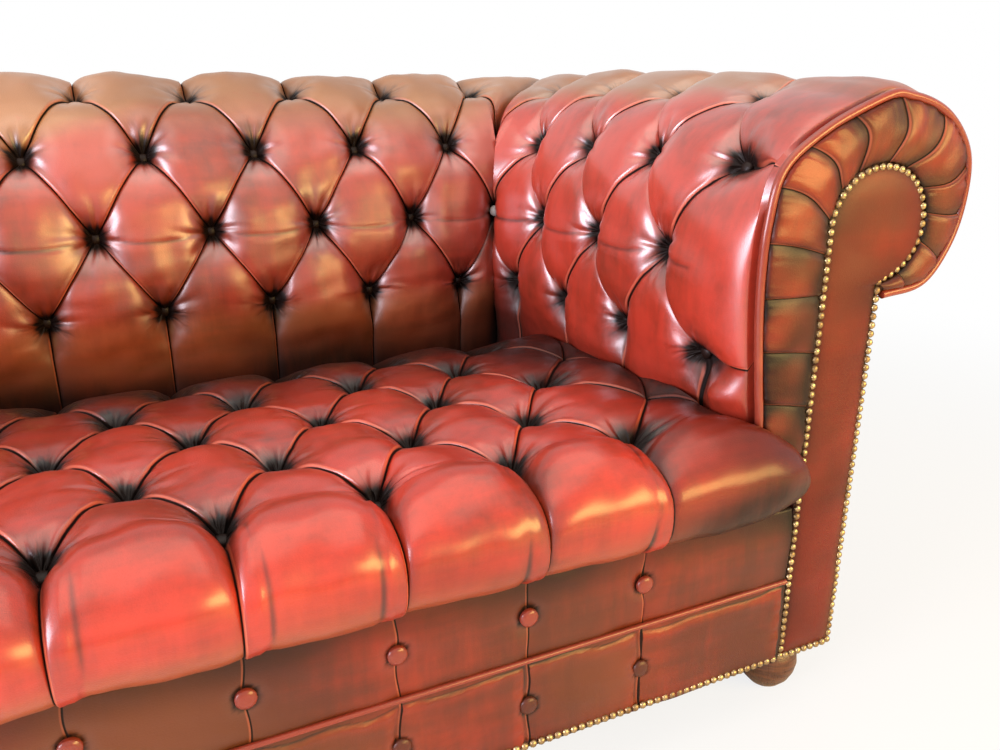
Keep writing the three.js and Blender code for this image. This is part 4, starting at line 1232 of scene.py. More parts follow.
back_spots = [(k, row) for row in (0, 2) for k in range(-half_back, half_back + 1)]
back_spots += [(k + 0.5, row) for row in (-1, 1) for k in range(-half_back, half_back)]
back_buttons = button_places(place_back, back_spots, back_way)
arm_spots = [(k, 0) for k in range(1, ARM_PITCHES)] + [(k, 2) for k in range(ARM_PITCHES)]
arm_spots += [(k + 0.5, row) for row in (-1, 1) for k in range(ARM_PITCHES)] + [(-0.5, 1)]
arm_buttons = button_places(place_arm, arm_spots, arm_way)
arm_buttons += [(Vector((-p.x, p.y, p.z)), Vector((-w.x, w.y, w.z))) for p, w in arm_buttons]
seat_spots = [(k - seat_open, row) for row in (0, 2, 4) for k in range(SEAT_PITCHES + 1)]
seat_spots += [(k - seat_open + 0.5, row) for row in (1, 3) for k in range(SEAT_PITCHES)]
seat_buttons = button_places(place_seat, seat_spots, lambda a, v: (0, -0.1, 1))
print("buttons", len(back_buttons), "back,", len(arm_buttons), "arms,", len(seat_buttons), "seat")

# %% Buttons in their pits
WORN_SHIFT = Vector((-9, -12, 2)) * MM
WORN_TILT = (-0.35, -0.85, 0.2)
worn = back_spots.index((half_back, 0))
worn_point = back_buttons[worn][0] + WORN_SHIFT
back_buttons[worn] = (worn_point, WORN_TILT)
buttoned = {"back_buttons": back_buttons, "arm_buttons": arm_buttons, "seat_buttons": seat_buttons}
for name, places in buttoned.items():
    buttons = stamp(name, turned(BUTTON_OUTLINE, BUTTON_SIDES), places, button_leather)
    if name == "back_buttons":
        bared = [(vert.co - worn_point).length < 2 * BUTTON_RADIUS for vert in buttons.data.vertices]
        keep_attribute(buttons.data, "fade", bared)

# %% [markdown]
# ## The front border
# Below the lip a border of thin leather is stretched over the front rail. It is sewn in bays, a
# cord parts it into two tiers, and a button sits on every seam of each tier. Each bay could be its
# own cushion, but the leather is nearly flat, so one panel is laid in bays and puffed by a few
# millimetres. In the lower tier a loose flap of leather lies on each bay, short of its top and side.


# %% Closing a flat panel
def close_flat(flat):
    """Gives a flat panel a rim towards its back, marked by a height of 1, and one face behind."""
    sew_pillows(flat)
    verts, edges = grow_rim(flat)
    for vert in verts:
        vert.co.z = 1
    bmesh.ops.contextual_create(flat, geom=edges)


def even_rows(low, high, count):
    return [lerp(low, high, i / count) for i in range(count + 1)]


print("even rows", even_rows(0, 1, 4))

# %% Sizes of the front border
WELT_HEIGHT = 107 * MM
BORDER_HEIGHT = 199 * MM
UPPER_BUTTON = 155 * MM
LOWER_BUTTON = 52 * MM
BUTTON_RING = 10.5 * MM
FLAP_TOP = 9 * MM
FLAP_SIDE = 5 * MM
LOWER_STEPS = 44
BORDER_COLUMNS = 24
PANEL_GAP = 0.3 * MM
SHELL_GAP = 0.5 * MM
border_end = (arm_plane + LEG_INNER - PANEL_GAP) / SEAT_PITCH
seams = [k - seat_open for k in range(SEAT_PITCHES + 1)]
lower_shares = [i / LOWER_STEPS for i in range(LOWER_STEPS + 1)]
tier_rows = (
    [WELT_HEIGHT * (0.5 * share + 0.5 * math.sin(math.pi / 2 * share)) for share in lower_shares],
    even_rows(WELT_HEIGHT, BORDER_HEIGHT, 30),
)
print("border", round(2 * border_end * SEAT_PITCH, 3), "m long with seams at", seams)


# %% Place of the border's leather
def place_border(a, v, behind):
    inside = np.clip(a, -seat_open, seat_open)
    across = np.clip(inside + 0.5 - np.floor(inside + 0.5 + 1e-7), 0, 1)
    end_gap = np.maximum(np.abs(a) - seat_open, 0)
    away_seam = np.where(end_gap > 1e-6, end_gap, np.minimum(across, 1 - across)) * SEAT_PITCH
    away_welt = np.abs(v - WELT_HEIGHT)
    up = np.where(v < WELT_HEIGHT, v / WELT_HEIGHT, (v - WELT_HEIGHT) / (BORDER_HEIGHT - WELT_HEIGHT))
    x = a * SEAT_PITCH
    nearest = np.clip(np.round(inside + 0.5) - 0.5, -seat_open, seat_open) * SEAT_PITCH
    away_upper = np.hypot(x - nearest, v - UPPER_BUTTON)
    away_lower = np.hypot(x - nearest, v - LOWER_BUTTON)

    # Full in each bay, drawn in at its buttons, with small ripples all over.
    full = 0.4 + 0.6 * np.sin(math.pi * np.clip(up, 0, 1)) ** 0.6
    puff = 3.2 * MM * (1 - np.exp(-away_seam / 0.012)) * full
    drawn_in = 3.4 * MM * np.exp(-((away_upper / 0.015) ** 2))
    drawn_in += 2.4 * MM * np.exp(-((away_lower / 0.014) ** 2))
    puff -= drawn_in
    puff += 0.9 * MM * ripple(x, v, v, 0.09, 21) + 0.5 * MM * ripple(x, v, v, 0.03, 22)

    # The flap of the lower tier, with its wavy edge.
    wavy = ripple(x, v, v, 0.06, 23)
    below = WELT_HEIGHT - v - FLAP_TOP - 2.5 * MM * wavy
    right_gap = np.where(inside >= seat_open - 1e-6, border_end - a, 1 - across) * SEAT_PITCH
    beside = right_gap - FLAP_SIDE - 1.5 * MM * ripple(v, v, x, 0.05, 24)
    flap = np.minimum(below, beside)
    on_flap = soft_step(-0.5 * MM, 2 * MM, flap) * (v < WELT_HEIGHT)
    puff += 2.4 * MM * on_flap * (0.5 + 0.5 * np.exp(-np.maximum(flap, 0) / 0.015))
    puff += 1.4 * MM * on_flap * np.exp(-((flap / 0.009) ** 2)) * ripple(x, v, v, 0.018, 25)
    bend = 1.6 * MM * np.sin(v / 0.011 + 2.0 * a) * np.exp(-away_seam / 0.012) * (end_gap < 1e-6)
    y = front_y - puff
    z = underside_z + v

    # Marks: painted shade in rings round the buttons, along the cord, at the foot, at both ends and at
    # the top under the lip; a painted shade line just outside each flap's edge, and the flap's rim made
    # paler as a painted highlight.
    spot = Spot()
    spot.side = np.where(across > 0.5, 1.0, -1.0) * (away_seam > 1e-5)
    spot.away = np.minimum(away_upper * 1.15, away_lower * 1.35) + 22 * MM
    spot.deep = np.ones_like(a)
    spot.along, spot.up = x - nearest, v - np.where(away_upper < away_lower, UPPER_BUTTON, LOWER_BUTTON)
    spot.crease = 0.9 * np.exp(-(((flap + 1 * MM) / (1.5 * MM)) ** 2)) * (v < WELT_HEIGHT)
    flap_rim = on_flap * np.exp(-((flap / 0.01) ** 2))
    spot.height = np.clip(0.5 + 0.6 * flap_rim + 0.2 * np.sin(3 * a), 0, 1)
    fade = 0.7 - 0.4 * soft_step(0, 5, a) + 0.3 * ripple(x, v, v, 0.25, 26)
    dirt = 0.6 * soft_step(0.15, 0.199, v) + 0.3 * np.exp(-away_welt / 0.006) + 0.7 * np.exp(-v / 0.008)
    dirt += 0.6 * np.exp(-(border_end - np.abs(a)) * SEAT_PITCH / 0.008)
    ring = np.minimum(np.abs(away_upper - BUTTON_RING), np.abs(away_lower - BUTTON_RING))
    dirt += 0.8 * np.exp(-((ring / (2.2 * MM)) ** 2))
    marks = leather_marks(spot, np.minimum(away_seam, away_welt + 3 * MM), fade, dirt)
    y = np.where(behind, board_back_y - SHELL_GAP, y)
    return x + bend, y, z, marks


print("tiers", round(WELT_HEIGHT / MM), "and", round((BORDER_HEIGHT - WELT_HEIGHT) / MM), "mm high")

# %% Front border
flat = bmesh.new()
stops = [-border_end, *seams, border_end]
for low, high in zip(stops, stops[1:]):
    for rows in tier_rows:
        lay_pillow(
            flat, rows, lambda row, low=low: low, lambda row, high=high: high, columns=BORDER_COLUMNS,
        )
close_flat(flat)
border = pad_from_flat("front_border_leather", flat, place_border, rubbed_leather)
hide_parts("front_border")

# %% [markdown]
# ## Buttons and cord on the border
# The buttons here are flatter than those in the pits and lie on the seams: a bright row in the
# upper tier and a browned row below the cord. The cord is a strip of leather sewn round a string.
# It could be a row of small cylinders, but a curve with a round bevel bends with every point of its
# path, so both this cord and the piping of the arms are curves.

# %% Rail buttons
RAIL_RADIUS = 9.5 * MM
RAIL_SIDES = 24
RAIL_OUTLINE = [
    (0, 4.4 * MM), (0.55 * RAIL_RADIUS, 4.2 * MM), (0.84 * RAIL_RADIUS, 3.4 * MM),
    (0.9 * RAIL_RADIUS, 2.6 * MM), (RAIL_RADIUS, 2.2 * MM), (RAIL_RADIUS, -1.5 * MM),
]
outward = Vector((0, -1, 0))
rail_buttons = [
    ("upper_rail_buttons", 1 * MM, UPPER_BUTTON, coral_leather, "red_leather"),
    ("lower_rail_buttons", 0.2 * MM, LOWER_BUTTON, rubbed_leather, "rubbed_leather"),
]
for name, raised, height, material, slot in rail_buttons:
    places = [((k * SEAT_PITCH, front_y - raised, underside_z + height), outward) for k in seams]
    stamp(name, turned(RAIL_OUTLINE, RAIL_SIDES), places, material)


# %% Cords
def cord_piece(name, points, radius, material):
    """A sewn cord that follows the points as one smooth tube."""
    curve = bpy.data.curves.new(name, "CURVE")
    curve.dimensions = "3D"
    curve.bevel_depth = radius
    curve.bevel_resolution = 3
    curve.use_fill_caps = True
    spline = curve.splines.new("POLY")
    spline.points.add(len(points) - 1)
    for point, place in zip(spline.points, points):
        point.co = (*place, 1)
    spline.use_smooth = True
    curve.materials.append(material)
    made = bpy.data.objects.new(name, curve)
    bpy.context.scene.collection.objects.link(made)
    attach(made, "root")
    print(name, len(points), "points")
    return made


WELT_RADIUS = 3 * MM
welt_x = border_end * SEAT_PITCH
welt_y, welt_z = front_y - WELT_RADIUS, underside_z + WELT_HEIGHT
welt_line = [(x, welt_y, welt_z) for x in even_rows(-welt_x, welt_x, 60)]
welt = cord_piece("border_cord", welt_line, WELT_RADIUS, coral_leather)
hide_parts("border_welt")

# %% [markdown]
# ## The arm fronts
# A nailed facing runs up the leg into a round scroll. Round it lies a border gathered in pleats,
# and a piped seam joins that border to the arm. The facing could be cut from a thick plate and
# bevelled, but padded leather swells softly from its nails, so it is laid as one panel between its
# inner and outer outline and puffed by how far each place lies from the nearer edge.

# %% Outlines of the facing
SCROLL_ACROSS = 70 * MM
SCROLL_UP = 64 * MM
SCROLL_DEPTH = 133 * MM
SCROLL_HEIGHT = 508 * MM
LEG_OUTER = 144 * MM
LEG_FOOT_INSET = 5.5 * MM
leg_turn = -math.acos((LEG_OUTER - SCROLL_DEPTH) / SCROLL_ACROSS)
leg_top = SCROLL_HEIGHT + SCROLL_UP * math.sin(leg_turn)


def scroll_half(height):
    return SCROLL_ACROSS * math.sqrt(max(1 - ((height - SCROLL_HEIGHT) / SCROLL_UP) ** 2, 0))


def facing_inner(height):
    if height < SCROLL_HEIGHT:
        return lerp(LEG_INNER, SCROLL_DEPTH - SCROLL_ACROSS, height / SCROLL_HEIGHT)
    return SCROLL_DEPTH - scroll_half(height)


def facing_outer(height):
    if height < leg_top:
        return lerp(LEG_OUTER - LEG_FOOT_INSET, LEG_OUTER, height / leg_top)
    return SCROLL_DEPTH + scroll_half(height)


def facing_line(inset, count):
    """Points of the facing's edge from the inner foot round the scroll to the outer foot."""
    line = [(LEG_INNER + inset, inset)]
    line += [(facing_inner(h) + inset, h) for h in even_rows(inset, SCROLL_HEIGHT, count)[1:]]
    for turn in even_rows(math.pi, leg_turn, count)[1:]:
        line.append((
            SCROLL_DEPTH + (SCROLL_ACROSS - inset) * math.cos(turn),
            SCROLL_HEIGHT + (SCROLL_UP - inset) * math.sin(turn),
        ))
    line.append((LEG_OUTER - LEG_FOOT_INSET - inset, inset))
    return np.array(line)


print("facing", round((LEG_OUTER - LEG_INNER) / MM), "mm wide, scroll", round(2 * SCROLL_ACROSS / MM), "mm")


# %% Helpers for panels and lines
def spaced(line, step=None, count=None):
    """Points at even steps along a line."""
    lengths = np.concatenate(([0], np.cumsum(np.hypot(*np.diff(line, axis=0).T))))
    count = count or max(round(lengths[-1] / step), 1)
    along = np.linspace(0, lengths[-1], count + 1)
    return np.column_stack([np.interp(along, lengths, line[:, k]) for k in range(line.shape[1])])


def plain_spot(a):
    """A spot of leather with no button or pleat near it."""
    spot = Spot()
    spot.side, spot.crease, spot.along, spot.up = [np.zeros_like(a) for _ in range(4)]
    spot.away, spot.deep, spot.height = np.ones_like(a), np.ones_like(a), np.full_like(a, 0.5)
    return spot


edge_steps = len(spaced(facing_line(0, 60), step=50 * MM)) - 1
print("edge of the facing", edge_steps, "steps of about 50 mm")

# %% Facings
FACING_PUFF = 6.5 * MM
FACING_FROM_SEAM = 9 * MM
FACING_COLUMNS = 28
SCROLL_STEPS = 40
round_shares = [0.5 - 0.5 * math.cos(math.pi * i / SCROLL_STEPS) for i in range(SCROLL_STEPS + 1)]
scroll_rows = [lerp(leg_top, SCROLL_HEIGHT + SCROLL_UP, share) for share in round_shares]
facing_rows = even_rows(0, leg_top, 60)[:-1] + scroll_rows


def place_facing(side):
    def place(a, v, behind):
        inner = np.array([facing_inner(h) for h in v])
        outer = np.array([facing_outer(h) for h in v])
        scroll = np.hypot((a - SCROLL_DEPTH) / SCROLL_ACROSS, (v - SCROLL_HEIGHT) / SCROLL_UP)
        from_sides = np.minimum(a - inner, outer - a)
        rim = np.where(v > leg_top, (1 - scroll) * SCROLL_UP, from_sides)
        rim = np.maximum(np.maximum(rim, np.minimum(from_sides, SCROLL_HEIGHT - v)), 0)
        rim = np.minimum(rim, v)
        puff = FACING_PUFF * (1 - np.exp(-rim / 0.012)) + 0.7 * MM * ripple(a, v, v, 0.08, 31)
        x = side * (arm_plane + a)
        spot = plain_spot(a)
        spot.height = 0.7 + 0.2 * ripple(a, v, v, 0.15, 32)
        fade = 0.02 + 0.45 * soft_step(0.03, 0.0, outer - a) + 0.2 * ripple(a, v, v, 0.3, 33)
        # Darker all over, with painted shade along the rim by the nails.
        dirt = 0.52 + 0.48 * np.exp(-((rim / 0.008) ** 2)) + 0.14 * ripple(a, v, v, 0.11, 34)
        marks = leather_marks(spot, rim + FACING_FROM_SEAM, fade, dirt)
        y = np.where(behind, board_back_y - SHELL_GAP, front_y + SHELL_GAP - puff)
        return x, y, underside_z + v, marks
    return place


for side, sign in (("right", 1), ("left", -1)):
    flat = bmesh.new()
    lay_pillow(flat, facing_rows, facing_inner, facing_outer, columns=FACING_COLUMNS)
    close_flat(flat)
    facing = pad_from_flat(
        f"facing_leather_{side}", flat, place_facing(sign), facing_leather,
    )
    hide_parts(f"scroll_facing_{side}")

# %% [markdown]
# ## Gathered borders and piping
# Between facing and arm the upholsterer lays the spare leather in folds, all leaning one way, and
# hides their ends under the nails and the piping. A cloth simulation could gather a strip, but
# where each fold falls would be chance, and the sofa shows where they fall. So the folds are
# spaced as listed and a strip is laid between the two edges, steep on one side of every fold.

# %% Edges of the gathers
# The folds sit at these shares of the way round the outer edge and round the inner one.
PIPING_RADIUS = 4.6 * MM
GATHER_OUTER = [
    0, 0.073, 0.147, 0.214, 0.28, 0.345, 0.409, 0.469, 0.541, 0.614, 0.692, 0.776, 0.835, 0.898, 0.966, 1,
]
GATHER_INNER = [
    0, 0.095, 0.187, 0.285, 0.387, 0.457, 0.515, 0.568, 0.611, 0.68, 0.725, 0.783, 0.831, 0.881, 0.954, 1,
]
GATHERS = len(GATHER_OUTER) - 1
LINE_STEPS = 480
front_rows = np.linspace(-3, 9, 200)
front_up = front_height_at(front_rows) + pad_foot_z - underside_z
front_line = np.column_stack((front_depth_at(front_rows), front_up))


def inset_line(line, inset):
    along = np.gradient(line, axis=0)
    along /= np.hypot(*along.T)[:, None]
    return line + inset * np.column_stack((along[:, 1], -along[:, 0]))


outer_line = spaced(inset_line(front_line, 2 * PIPING_RADIUS), count=LINE_STEPS)
foot_height = pad_foot_z - underside_z
edge = facing_line(0, 60)
edge = edge[:-1][edge[:-1, 1] > foot_height]
inner_line = spaced(np.vstack(([facing_inner(foot_height), foot_height], edge)), count=LINE_STEPS)
print("gathers", GATHERS, "folds")


# %% Place of the gathers' leather
GATHER_WIDTH = 55 * MM


def gather_point(a, v):
    """Depth and height of points of the gathers, from the outer edge (v 0) to the inner one (v 1)."""
    bow = 0.22 * np.sin(math.pi * v) * soft_step(4, 6.5, a) * (1 - soft_step(10.5, 12.5, a))
    bow += 0.05 * np.sin(math.pi * v) * np.sin(7 * a)
    at = np.clip(a + bow * np.sin(math.pi * np.clip(a / GATHERS, 0, 1)), 0, GATHERS)
    outer_at = np.interp(at, range(GATHERS + 1), GATHER_OUTER)
    inner_at = np.interp(at, range(GATHERS + 1), GATHER_INNER)
    steps = np.linspace(0, 1, len(outer_line))
    outer = [np.interp(outer_at, steps, outer_line[:, k]) for k in (0, 1)]
    inner = [np.interp(inner_at, steps, inner_line[:, k]) for k in (0, 1)]
    return [lerp(outer[k], inner[k], v) for k in (0, 1)]


def place_gather(side):
    def place(a, v, behind):
        across, up = gather_point(a, v)
        share = np.clip(a - np.floor(a + 1e-7), 0, 1)
        width = GATHER_WIDTH * lerp(1.15, 0.75, v * soft_step(4, 7, a))
        away_seam = np.minimum(share, 1 - share) * width
        fold = (1 - np.exp(-share * width / 0.0025)) * (1 - np.exp(-(1 - share) * width / 0.014))
        belly = np.sin(math.pi * np.clip(v, 0, 1))
        puff = 4.4 * MM * fold * (0.75 + 0.25 * belly) + 4.2 * MM * belly ** 0.6
        near_ends = np.exp(-v / 0.16) + 0.8 * np.exp(-(1 - v) / 0.12)
        puff += 1.5 * MM * near_ends * np.sin(27 * a + 4 * np.sin(3 * a)) * fold
        puff += 0.8 * MM * ripple(across, up, up, 0.045, 41)
        y = np.where(behind, board_back_y - SHELL_GAP, front_y - puff)
        spot = plain_spot(a)
        # One side of each fold gets the painted highlight.
        spot.side = np.where(share < 0.5, 1.0, -1.0) * (away_seam > 1e-5)
        spot.height = 0.85 * fold
        fade = 0.14 + 0.5 * ripple(across, up, 0.03 * a, 0.08, 42)
        fade = fade * lerp(0.3, 1, soft_step(0, 0.6, share))
        # Painted shade at both edges, by the nails and under the piping, darker towards the foot, with random
        # patches.
        dirt = 0.7 * np.exp(-((1 - v) * 0.07 / 0.009)) + 0.35 * np.exp(-(v * 0.07 / 0.005))
        dirt += 0.5 * soft_step(7, 2, a)
        dirt += 0.2 + 0.25 * ripple(across, up, 0.03 * a, 0.05, 43)
        marks = leather_marks(spot, away_seam, fade, dirt)
        return side * (arm_plane + across), y, underside_z + up, marks
    return place


print("a fold is about", round(GATHER_WIDTH / MM), "mm wide")

# %% Gathered borders and piping
GATHER_COLUMNS = 20
gather_rows = even_rows(0, 1, 20)
piping_line = spaced(inset_line(front_line, PIPING_RADIUS), count=140)
piping_y = front_y + 1 * MM
for side, sign in (("right", 1), ("left", -1)):
    flat = bmesh.new()
    for k in range(GATHERS):
        lay_pillow(
            flat, gather_rows, lambda row, k=k: k, lambda row, k=k: k + 1, columns=GATHER_COLUMNS,
        )
    close_flat(flat)
    gather = pad_from_flat(
        f"gathered_leather_{side}", flat, place_gather(sign), rubbed_leather,
    )
    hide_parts(f"gathered_border_{side}")
    route = [(sign * (arm_plane + across), piping_y, underside_z + up) for across, up in piping_line]
    piping = cord_piece(f"arm_cord_{side}", route, PIPING_RADIUS, coral_leather)
    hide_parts(f"arm_piping_{side}")

# %% [markdown]
# ## Nails
# Antique brass nails are driven head to head round both facings and along the foot of the front.
# They could be bumps in a material, but their heads stand proud and catch the light at the edge, so
# a small dome is turned and stamped at even steps along the same outlines that shaped the facings.

# %% Brass
brass, brass_shader, brass_place = new_material("antique brass")
tarnish = brass_place.noise(90.0, 4.0, 0.6).between(0.35, 0.7)
finish_surface(
    brass_shader, brass_place,
    tarnish.blend((0.48, 0.36, 0.19, 1), (0.2, 0.12, 0.055, 1)), 0.24 + tarnish * 0.25,
    ((brass_place.noise(400.0), 0.0002),), metallic=1.0 - tarnish * 0.25,
)
print("finish", brass.name)

# %% Nails
NAIL_STEP = 9.65 * MM
NAIL_INSET = 4.6 * MM
NAIL_RADIUS = 4.4 * MM
NAIL_LIFT = 1.8 * MM
NAIL_SIDES = 8
NAIL_OUTLINE = [
    (0, 2.6 * MM), (0.6 * NAIL_RADIUS, 2 * MM), (0.92 * NAIL_RADIUS, 0.6 * MM),
    (NAIL_RADIUS, -1.2 * MM),
]
nail_places = []
nail_y = front_y - NAIL_LIFT
for sign in (1, -1):
    for across, height in spaced(facing_line(NAIL_INSET, 80), step=NAIL_STEP):
        nail_places.append(((sign * (arm_plane + across), nail_y, underside_z + height), outward))
foot_side = arm_plane + LEG_OUTER - LEG_FOOT_INSET - NAIL_INSET
foot_line = np.array([(-foot_side, NAIL_INSET), (foot_side, NAIL_INSET)])
leg_nails = [arm_plane + LEG_INNER + NAIL_INSET, foot_side]
for across, height in spaced(foot_line, step=NAIL_STEP):
    if min(abs(abs(across) - nail) for nail in leg_nails) > 0.6 * NAIL_STEP:
        nail_places.append(((across, nail_y - NAIL_LIFT, underside_z + height), outward))
stamp("brass_nails", turned(NAIL_OUTLINE, NAIL_SIDES), nail_places, brass)
print("nails", len(nail_places))

# %% [markdown]
# ## The outsides
# The outside arms and back are plain leather pulled over board, a little fuller in the middle. A
# box with a bevel would show a hard edge where leather turns softly, so the same kind of panel as
# the facings is laid over each side, with a gentle puff and a few slow waves.


# %% Outside panels
PANEL = 6 * MM
OUTSIDE_SUNK = 2 * MM
OUTSIDE_FROM_SEAM = 8 * MM
OUTSIDE_COLUMNS = 80
panel_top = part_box("outside_back")[1][2]


def place_outside(low, high, face, out, axis):
    """A panel over one side of the frame: `axis` 0 faces along X and 1 along Y."""
    def place(a, v, behind):
        rim = np.minimum(np.minimum(a - low, high - a), np.minimum(v - underside_z, panel_top - v))
        rim = np.maximum(rim, 0)
        puff = 5 * MM * (1 - np.exp(-rim / 0.03)) + 1.1 * MM * ripple(a, v, v, 0.25, 51)
        level = np.where(behind, face - out * PANEL, face + out * (puff - OUTSIDE_SUNK))
        spot = plain_spot(a)
        spot.height = 0.4 + 0.2 * ripple(a, v, v, 0.3, 52)
        fade = 0.35 + 0.3 * ripple(a, v, v, 0.5, 53)
        # The last mark makes each panel darker towards its rim.
        marks = leather_marks(spot, rim + OUTSIDE_FROM_SEAM, fade, 0.4 * np.exp(-rim / 0.01))
        x, y = (level, a) if axis == 0 else (a, level)
        return x, y, v, marks
    return place


arm_low, arm_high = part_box("outside_arm_right")
back_low, back_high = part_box("outside_back")
panels = [
    ("outside_arm_right", arm_low[1], arm_high[1], arm_high[0], 1, 0),
    ("outside_arm_left", arm_low[1], arm_high[1], -arm_high[0], -1, 0),
    ("outside_back", back_low[0], back_high[0], back_high[1], 1, 1),
]
for node, low, high, face, out, axis in panels:
    flat = bmesh.new()
    rows = even_rows(underside_z, panel_top, 36)
    lay_pillow(
        flat, rows, lambda row, low=low: low, lambda row, high=high: high, columns=OUTSIDE_COLUMNS,
    )
    close_flat(flat)
    placed = place_outside(low, high, face, out, axis)
    panel = pad_from_flat(f"{node}_leather", flat, placed, rubbed_leather)
    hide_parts(node)

# %% [markdown]
# ## Finishes of the frame
# Under the leather is a beech frame with steel springs, a hessian deck and a black cloth below.
# Little of it shows, so the parts from the CAD are kept as they are and only get a finish. Wood
# could come from a picture, but noise stretched along one direction gives grain at any scale, and
# two crossed waves give a weave.


# %% Wood
def wood(name, pale, dark, gloss, ring_scale):
    material, shader, place = new_material(name)
    grain = place.stretched(1, 1, 8).noise(ring_scale, 6.0, 0.6)
    rings = grain.between(0.35, 0.65)
    pores = place.stretched(300, 300, 20).noise(1.0, 2.0, 0.5)
    finish_surface(
        shader, place, (rings * 0.7 + pores * 0.3).blend(dark, pale), gloss + pores * 0.15,
        ((rings * 0.5 + pores, 0.0003),),
    )
    return material


beech_wood = wood("beech", (0.55, 0.36, 0.2, 1), (0.36, 0.2, 0.1, 1), 0.55, 14.0)
foot_wood = wood("stained wood", (0.17, 0.06, 0.025, 1), (0.05, 0.018, 0.01, 1), 0.22, 30.0)
print("woods", beech_wood.name, "and", foot_wood.name)

# %% Steel
steel, steel_shader, steel_place = new_material("spring steel")
dull = steel_place.noise(60.0, 4.0, 0.6)
finish_surface(
    steel_shader, steel_place, dull.blend((0.4, 0.4, 0.41, 1), (0.2, 0.19, 0.18, 1)), 0.3 + dull * 0.2,
    ((dull, 0.0002),), metallic=dull * 0.1 + 0.85,
)
print("finish", steel.name)


# %% Cloth and hessian
def woven(name, light, dark, threads):
    material, shader, place = new_material(name)
    wave = {"Scale": threads, "Distortion": 0.6}
    warp = place.node("ShaderNodeTexWave", {"bands_direction": "X"}, {"Vector": place, **wave}, output=1)
    weft = place.node("ShaderNodeTexWave", {"bands_direction": "Y"}, {"Vector": place, **wave}, output=1)
    weave = warp * 0.5 + weft * 0.5
    slubs = place.noise(40.0, 4.0, 0.6)
    finish_surface(
        shader, place, (weave * 0.7 + slubs * 0.3).blend(dark, light), 0.85 + slubs * 0.1, ((weave, 0.0006),),
    )
    return material


hessian_cloth = woven("hessian", (0.5, 0.38, 0.22, 1), (0.2, 0.14, 0.07, 1), 90.0)
black_cloth = woven("black cloth", (0.03, 0.03, 0.032, 1), (0.008, 0.008, 0.009, 1), 140.0)
print("cloths", hessian_cloth.name, "and", black_cloth.name)

# %% Finishes for the parts of the frame
finishes = {
    "rail": beech_wood, "stretcher": beech_wood, "post": beech_wood, "former": beech_wood,
    "block": beech_wood, "bolt": steel, "spring": steel, "deck": hessian_cloth,
    "edge_roll": hessian_cloth, "cover": black_cloth,
}
finished = 0
for name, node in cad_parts.items():
    for word, finish in finishes.items():
        if word in name:
            node.data.materials.clear()
            node.data.materials.append(finish)
            finished += 1
print("parts of the frame with a finish", finished)

# %% [markdown]
# ## Feet
# The bun feet are turned on a lathe from one block of wood. A screw modifier could turn them too,
# but the helper that made the buttons already spins an outline, so the foot is only one more
# outline, given as shares of its radius and its height.

# %% Feet
FOOT_SIDES = 48
FOOT_RADIUS = 37 * MM
FOOT_OUTLINE = [
    (0, 0), (0.25, 0), (0.34, 0.02), (0.56, 0.09), (0.79, 0.2), (0.94, 0.33), (1, 0.45),
    (0.97, 0.58), (0.87, 0.68), (0.72, 0.75), (0.64, 0.78), (0.62, 0.81), (0.66, 0.85),
    (0.79, 0.87), (0.83, 0.9), (0.83, 1), (0, 1),
]
bun_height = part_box("front_foot_right")[1][2]
foot_outline = [(radius * FOOT_RADIUS, height * bun_height) for radius, height in FOOT_OUTLINE]
for corner in ("front_foot_right", "front_foot_left", "rear_foot_right", "rear_foot_left"):
    low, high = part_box(corner)
    middle = (Vector(low) + Vector(high)) / 2
    upright = [((middle.x, middle.y, 0), (0, 0, 1))]
    foot = stamp(
        f"turned_{corner}", turned(foot_outline, FOOT_SIDES), upright, foot_wood,
    )
    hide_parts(corner)

# %% [markdown]
# ## Floor and light
# A white sweep and soft light: a broad cool lamp on the left, a warm glow from the right, a weak
# fill in front and a soft warm ceiling. A picture of a studio could light the sofa too, but four
# area lamps are enough for the long glints of glazed leather and can each be moved alone. The white
# background shows to the camera and in reflections, but lights little itself.

# %% World
AMBIENT = 0.12
world = bpy.data.worlds.new("studio")
world.use_nodes = True
bpy.context.scene.world = world
tree = world.node_tree
tree.nodes.clear()
start = Wire(tree, None)
rays = tree.nodes.new("ShaderNodeLightPath")


def ray(name):
    return Wire(tree, rays.outputs[name])


seen = (ray("Is Camera Ray") + ray("Is Glossy Ray") + ray("Is Transmission Ray")).between(0.0, 1.0)
shown = start.node("ShaderNodeBackground", {}, {"Color": (1, 1, 1, 1), "Strength": 1.0})
lighting = start.node("ShaderNodeBackground", {}, {"Color": (1, 0.97, 0.94, 1), "Strength": AMBIENT})
mixed = start.node("ShaderNodeMixShader", {}, {0: seen, 1: lighting, 2: shown})
surface = tree.nodes.new("ShaderNodeOutputWorld")
tree.links.new(mixed.socket, surface.inputs["Surface"])
print("world", world.name)

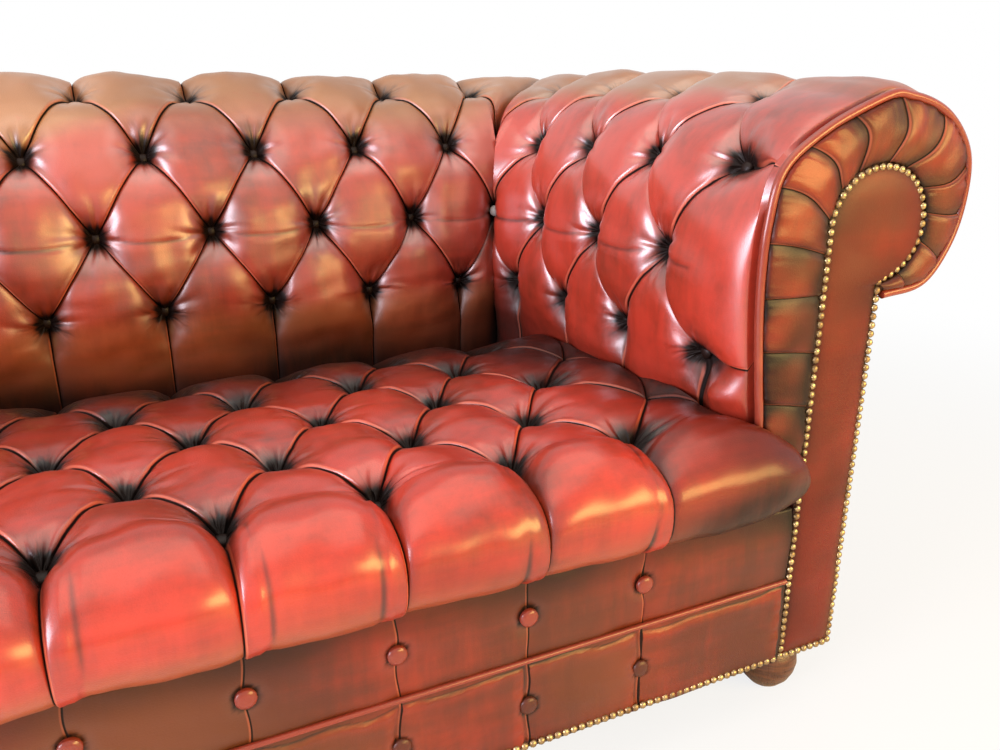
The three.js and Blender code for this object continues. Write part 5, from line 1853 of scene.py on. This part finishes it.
# %% Floor
# To the camera the floor glows by itself, most of all further out, so that no edge of it shows.
FLOOR_REACH = 12
GLOW_FROM, GLOW_FULL = 1.3, 3.0
GLOW_NEAR = 0.82
floor_shape = bmesh.new()
bmesh.ops.create_grid(floor_shape, x_segments=1, y_segments=1, size=FLOOR_REACH)
floor_mesh = bpy.data.meshes.new("floor")
floor_shape.to_mesh(floor_mesh)
floor_shape.free()
floor = bpy.data.objects.new("floor", floor_mesh)
bpy.context.scene.collection.objects.link(floor)
floor_material, floor_shader, floor_place = new_material("floor")
floor_shader.inputs["Base Color"].default_value = (0.97, 0.97, 0.97, 1)
floor_shader.inputs["Roughness"].default_value = 0.9
floor_tree = floor_material.node_tree
floor_seen = floor_place.node("ShaderNodeLightPath", output=0)
floor_away = floor_place.node("ShaderNodeVectorMath", {"operation": "LENGTH"}, {0: floor_place}, output=1)
floor_far = floor_away.between(GLOW_FROM, GLOW_FULL)
floor_white = floor_place.node("ShaderNodeEmission", {}, {"Color": (1, 1, 1, 1), "Strength": 1.0})
floor_lit = Wire(floor_tree, floor_shader.outputs[0])
floor_glow = floor_seen * (GLOW_NEAR + floor_far * (1 - GLOW_NEAR))
floor_mixed = floor_place.node("ShaderNodeMixShader", {}, {0: floor_glow, 1: floor_lit, 2: floor_white})
floor_tree.links.new(floor_mixed.socket, floor_tree.nodes["Material Output"].inputs["Surface"])
floor_mesh.materials.append(floor_material)
floor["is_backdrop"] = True
print("floor", 2 * FLOOR_REACH, "m wide")


# %% Lamps
def lamp(name, place, target, size, power, colour):
    data = bpy.data.lights.new(name, "AREA")
    data.shape = "RECTANGLE"
    data.size, data.size_y = size
    data.energy = power
    data.color = colour
    made = bpy.data.objects.new(name, data)
    bpy.context.scene.collection.objects.link(made)
    made.location = place
    made.rotation_euler = (Vector(target) - Vector(place)).to_track_quat("-Z", "Y").to_euler()
    print("lamp", name, power, "W")


lamp("cool side lamp", (-3.2, -0.9, 1.35), (0.2, -0.1, 0.5), (2.6, 1.6), 240, (0.88, 0.86, 1.0))
lamp("warm glow", (2.0, -2.5, 1.0), (0.1, 0, 0.45), (2.1, 0.9), 86, (1.0, 0.68, 0.2))
lamp("front fill", (-0.3, -3.6, 1.8), (0.1, -0.2, 0.3), (3.2, 2.2), 8, (1.0, 0.8, 0.6))
lamp("ceiling", (0.2, -0.5, 3.0), (0.2, 0, 0), (3.4, 2.6), 46, (1, 0.88, 0.74))

# %% Bounds of everything shown
low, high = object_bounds()
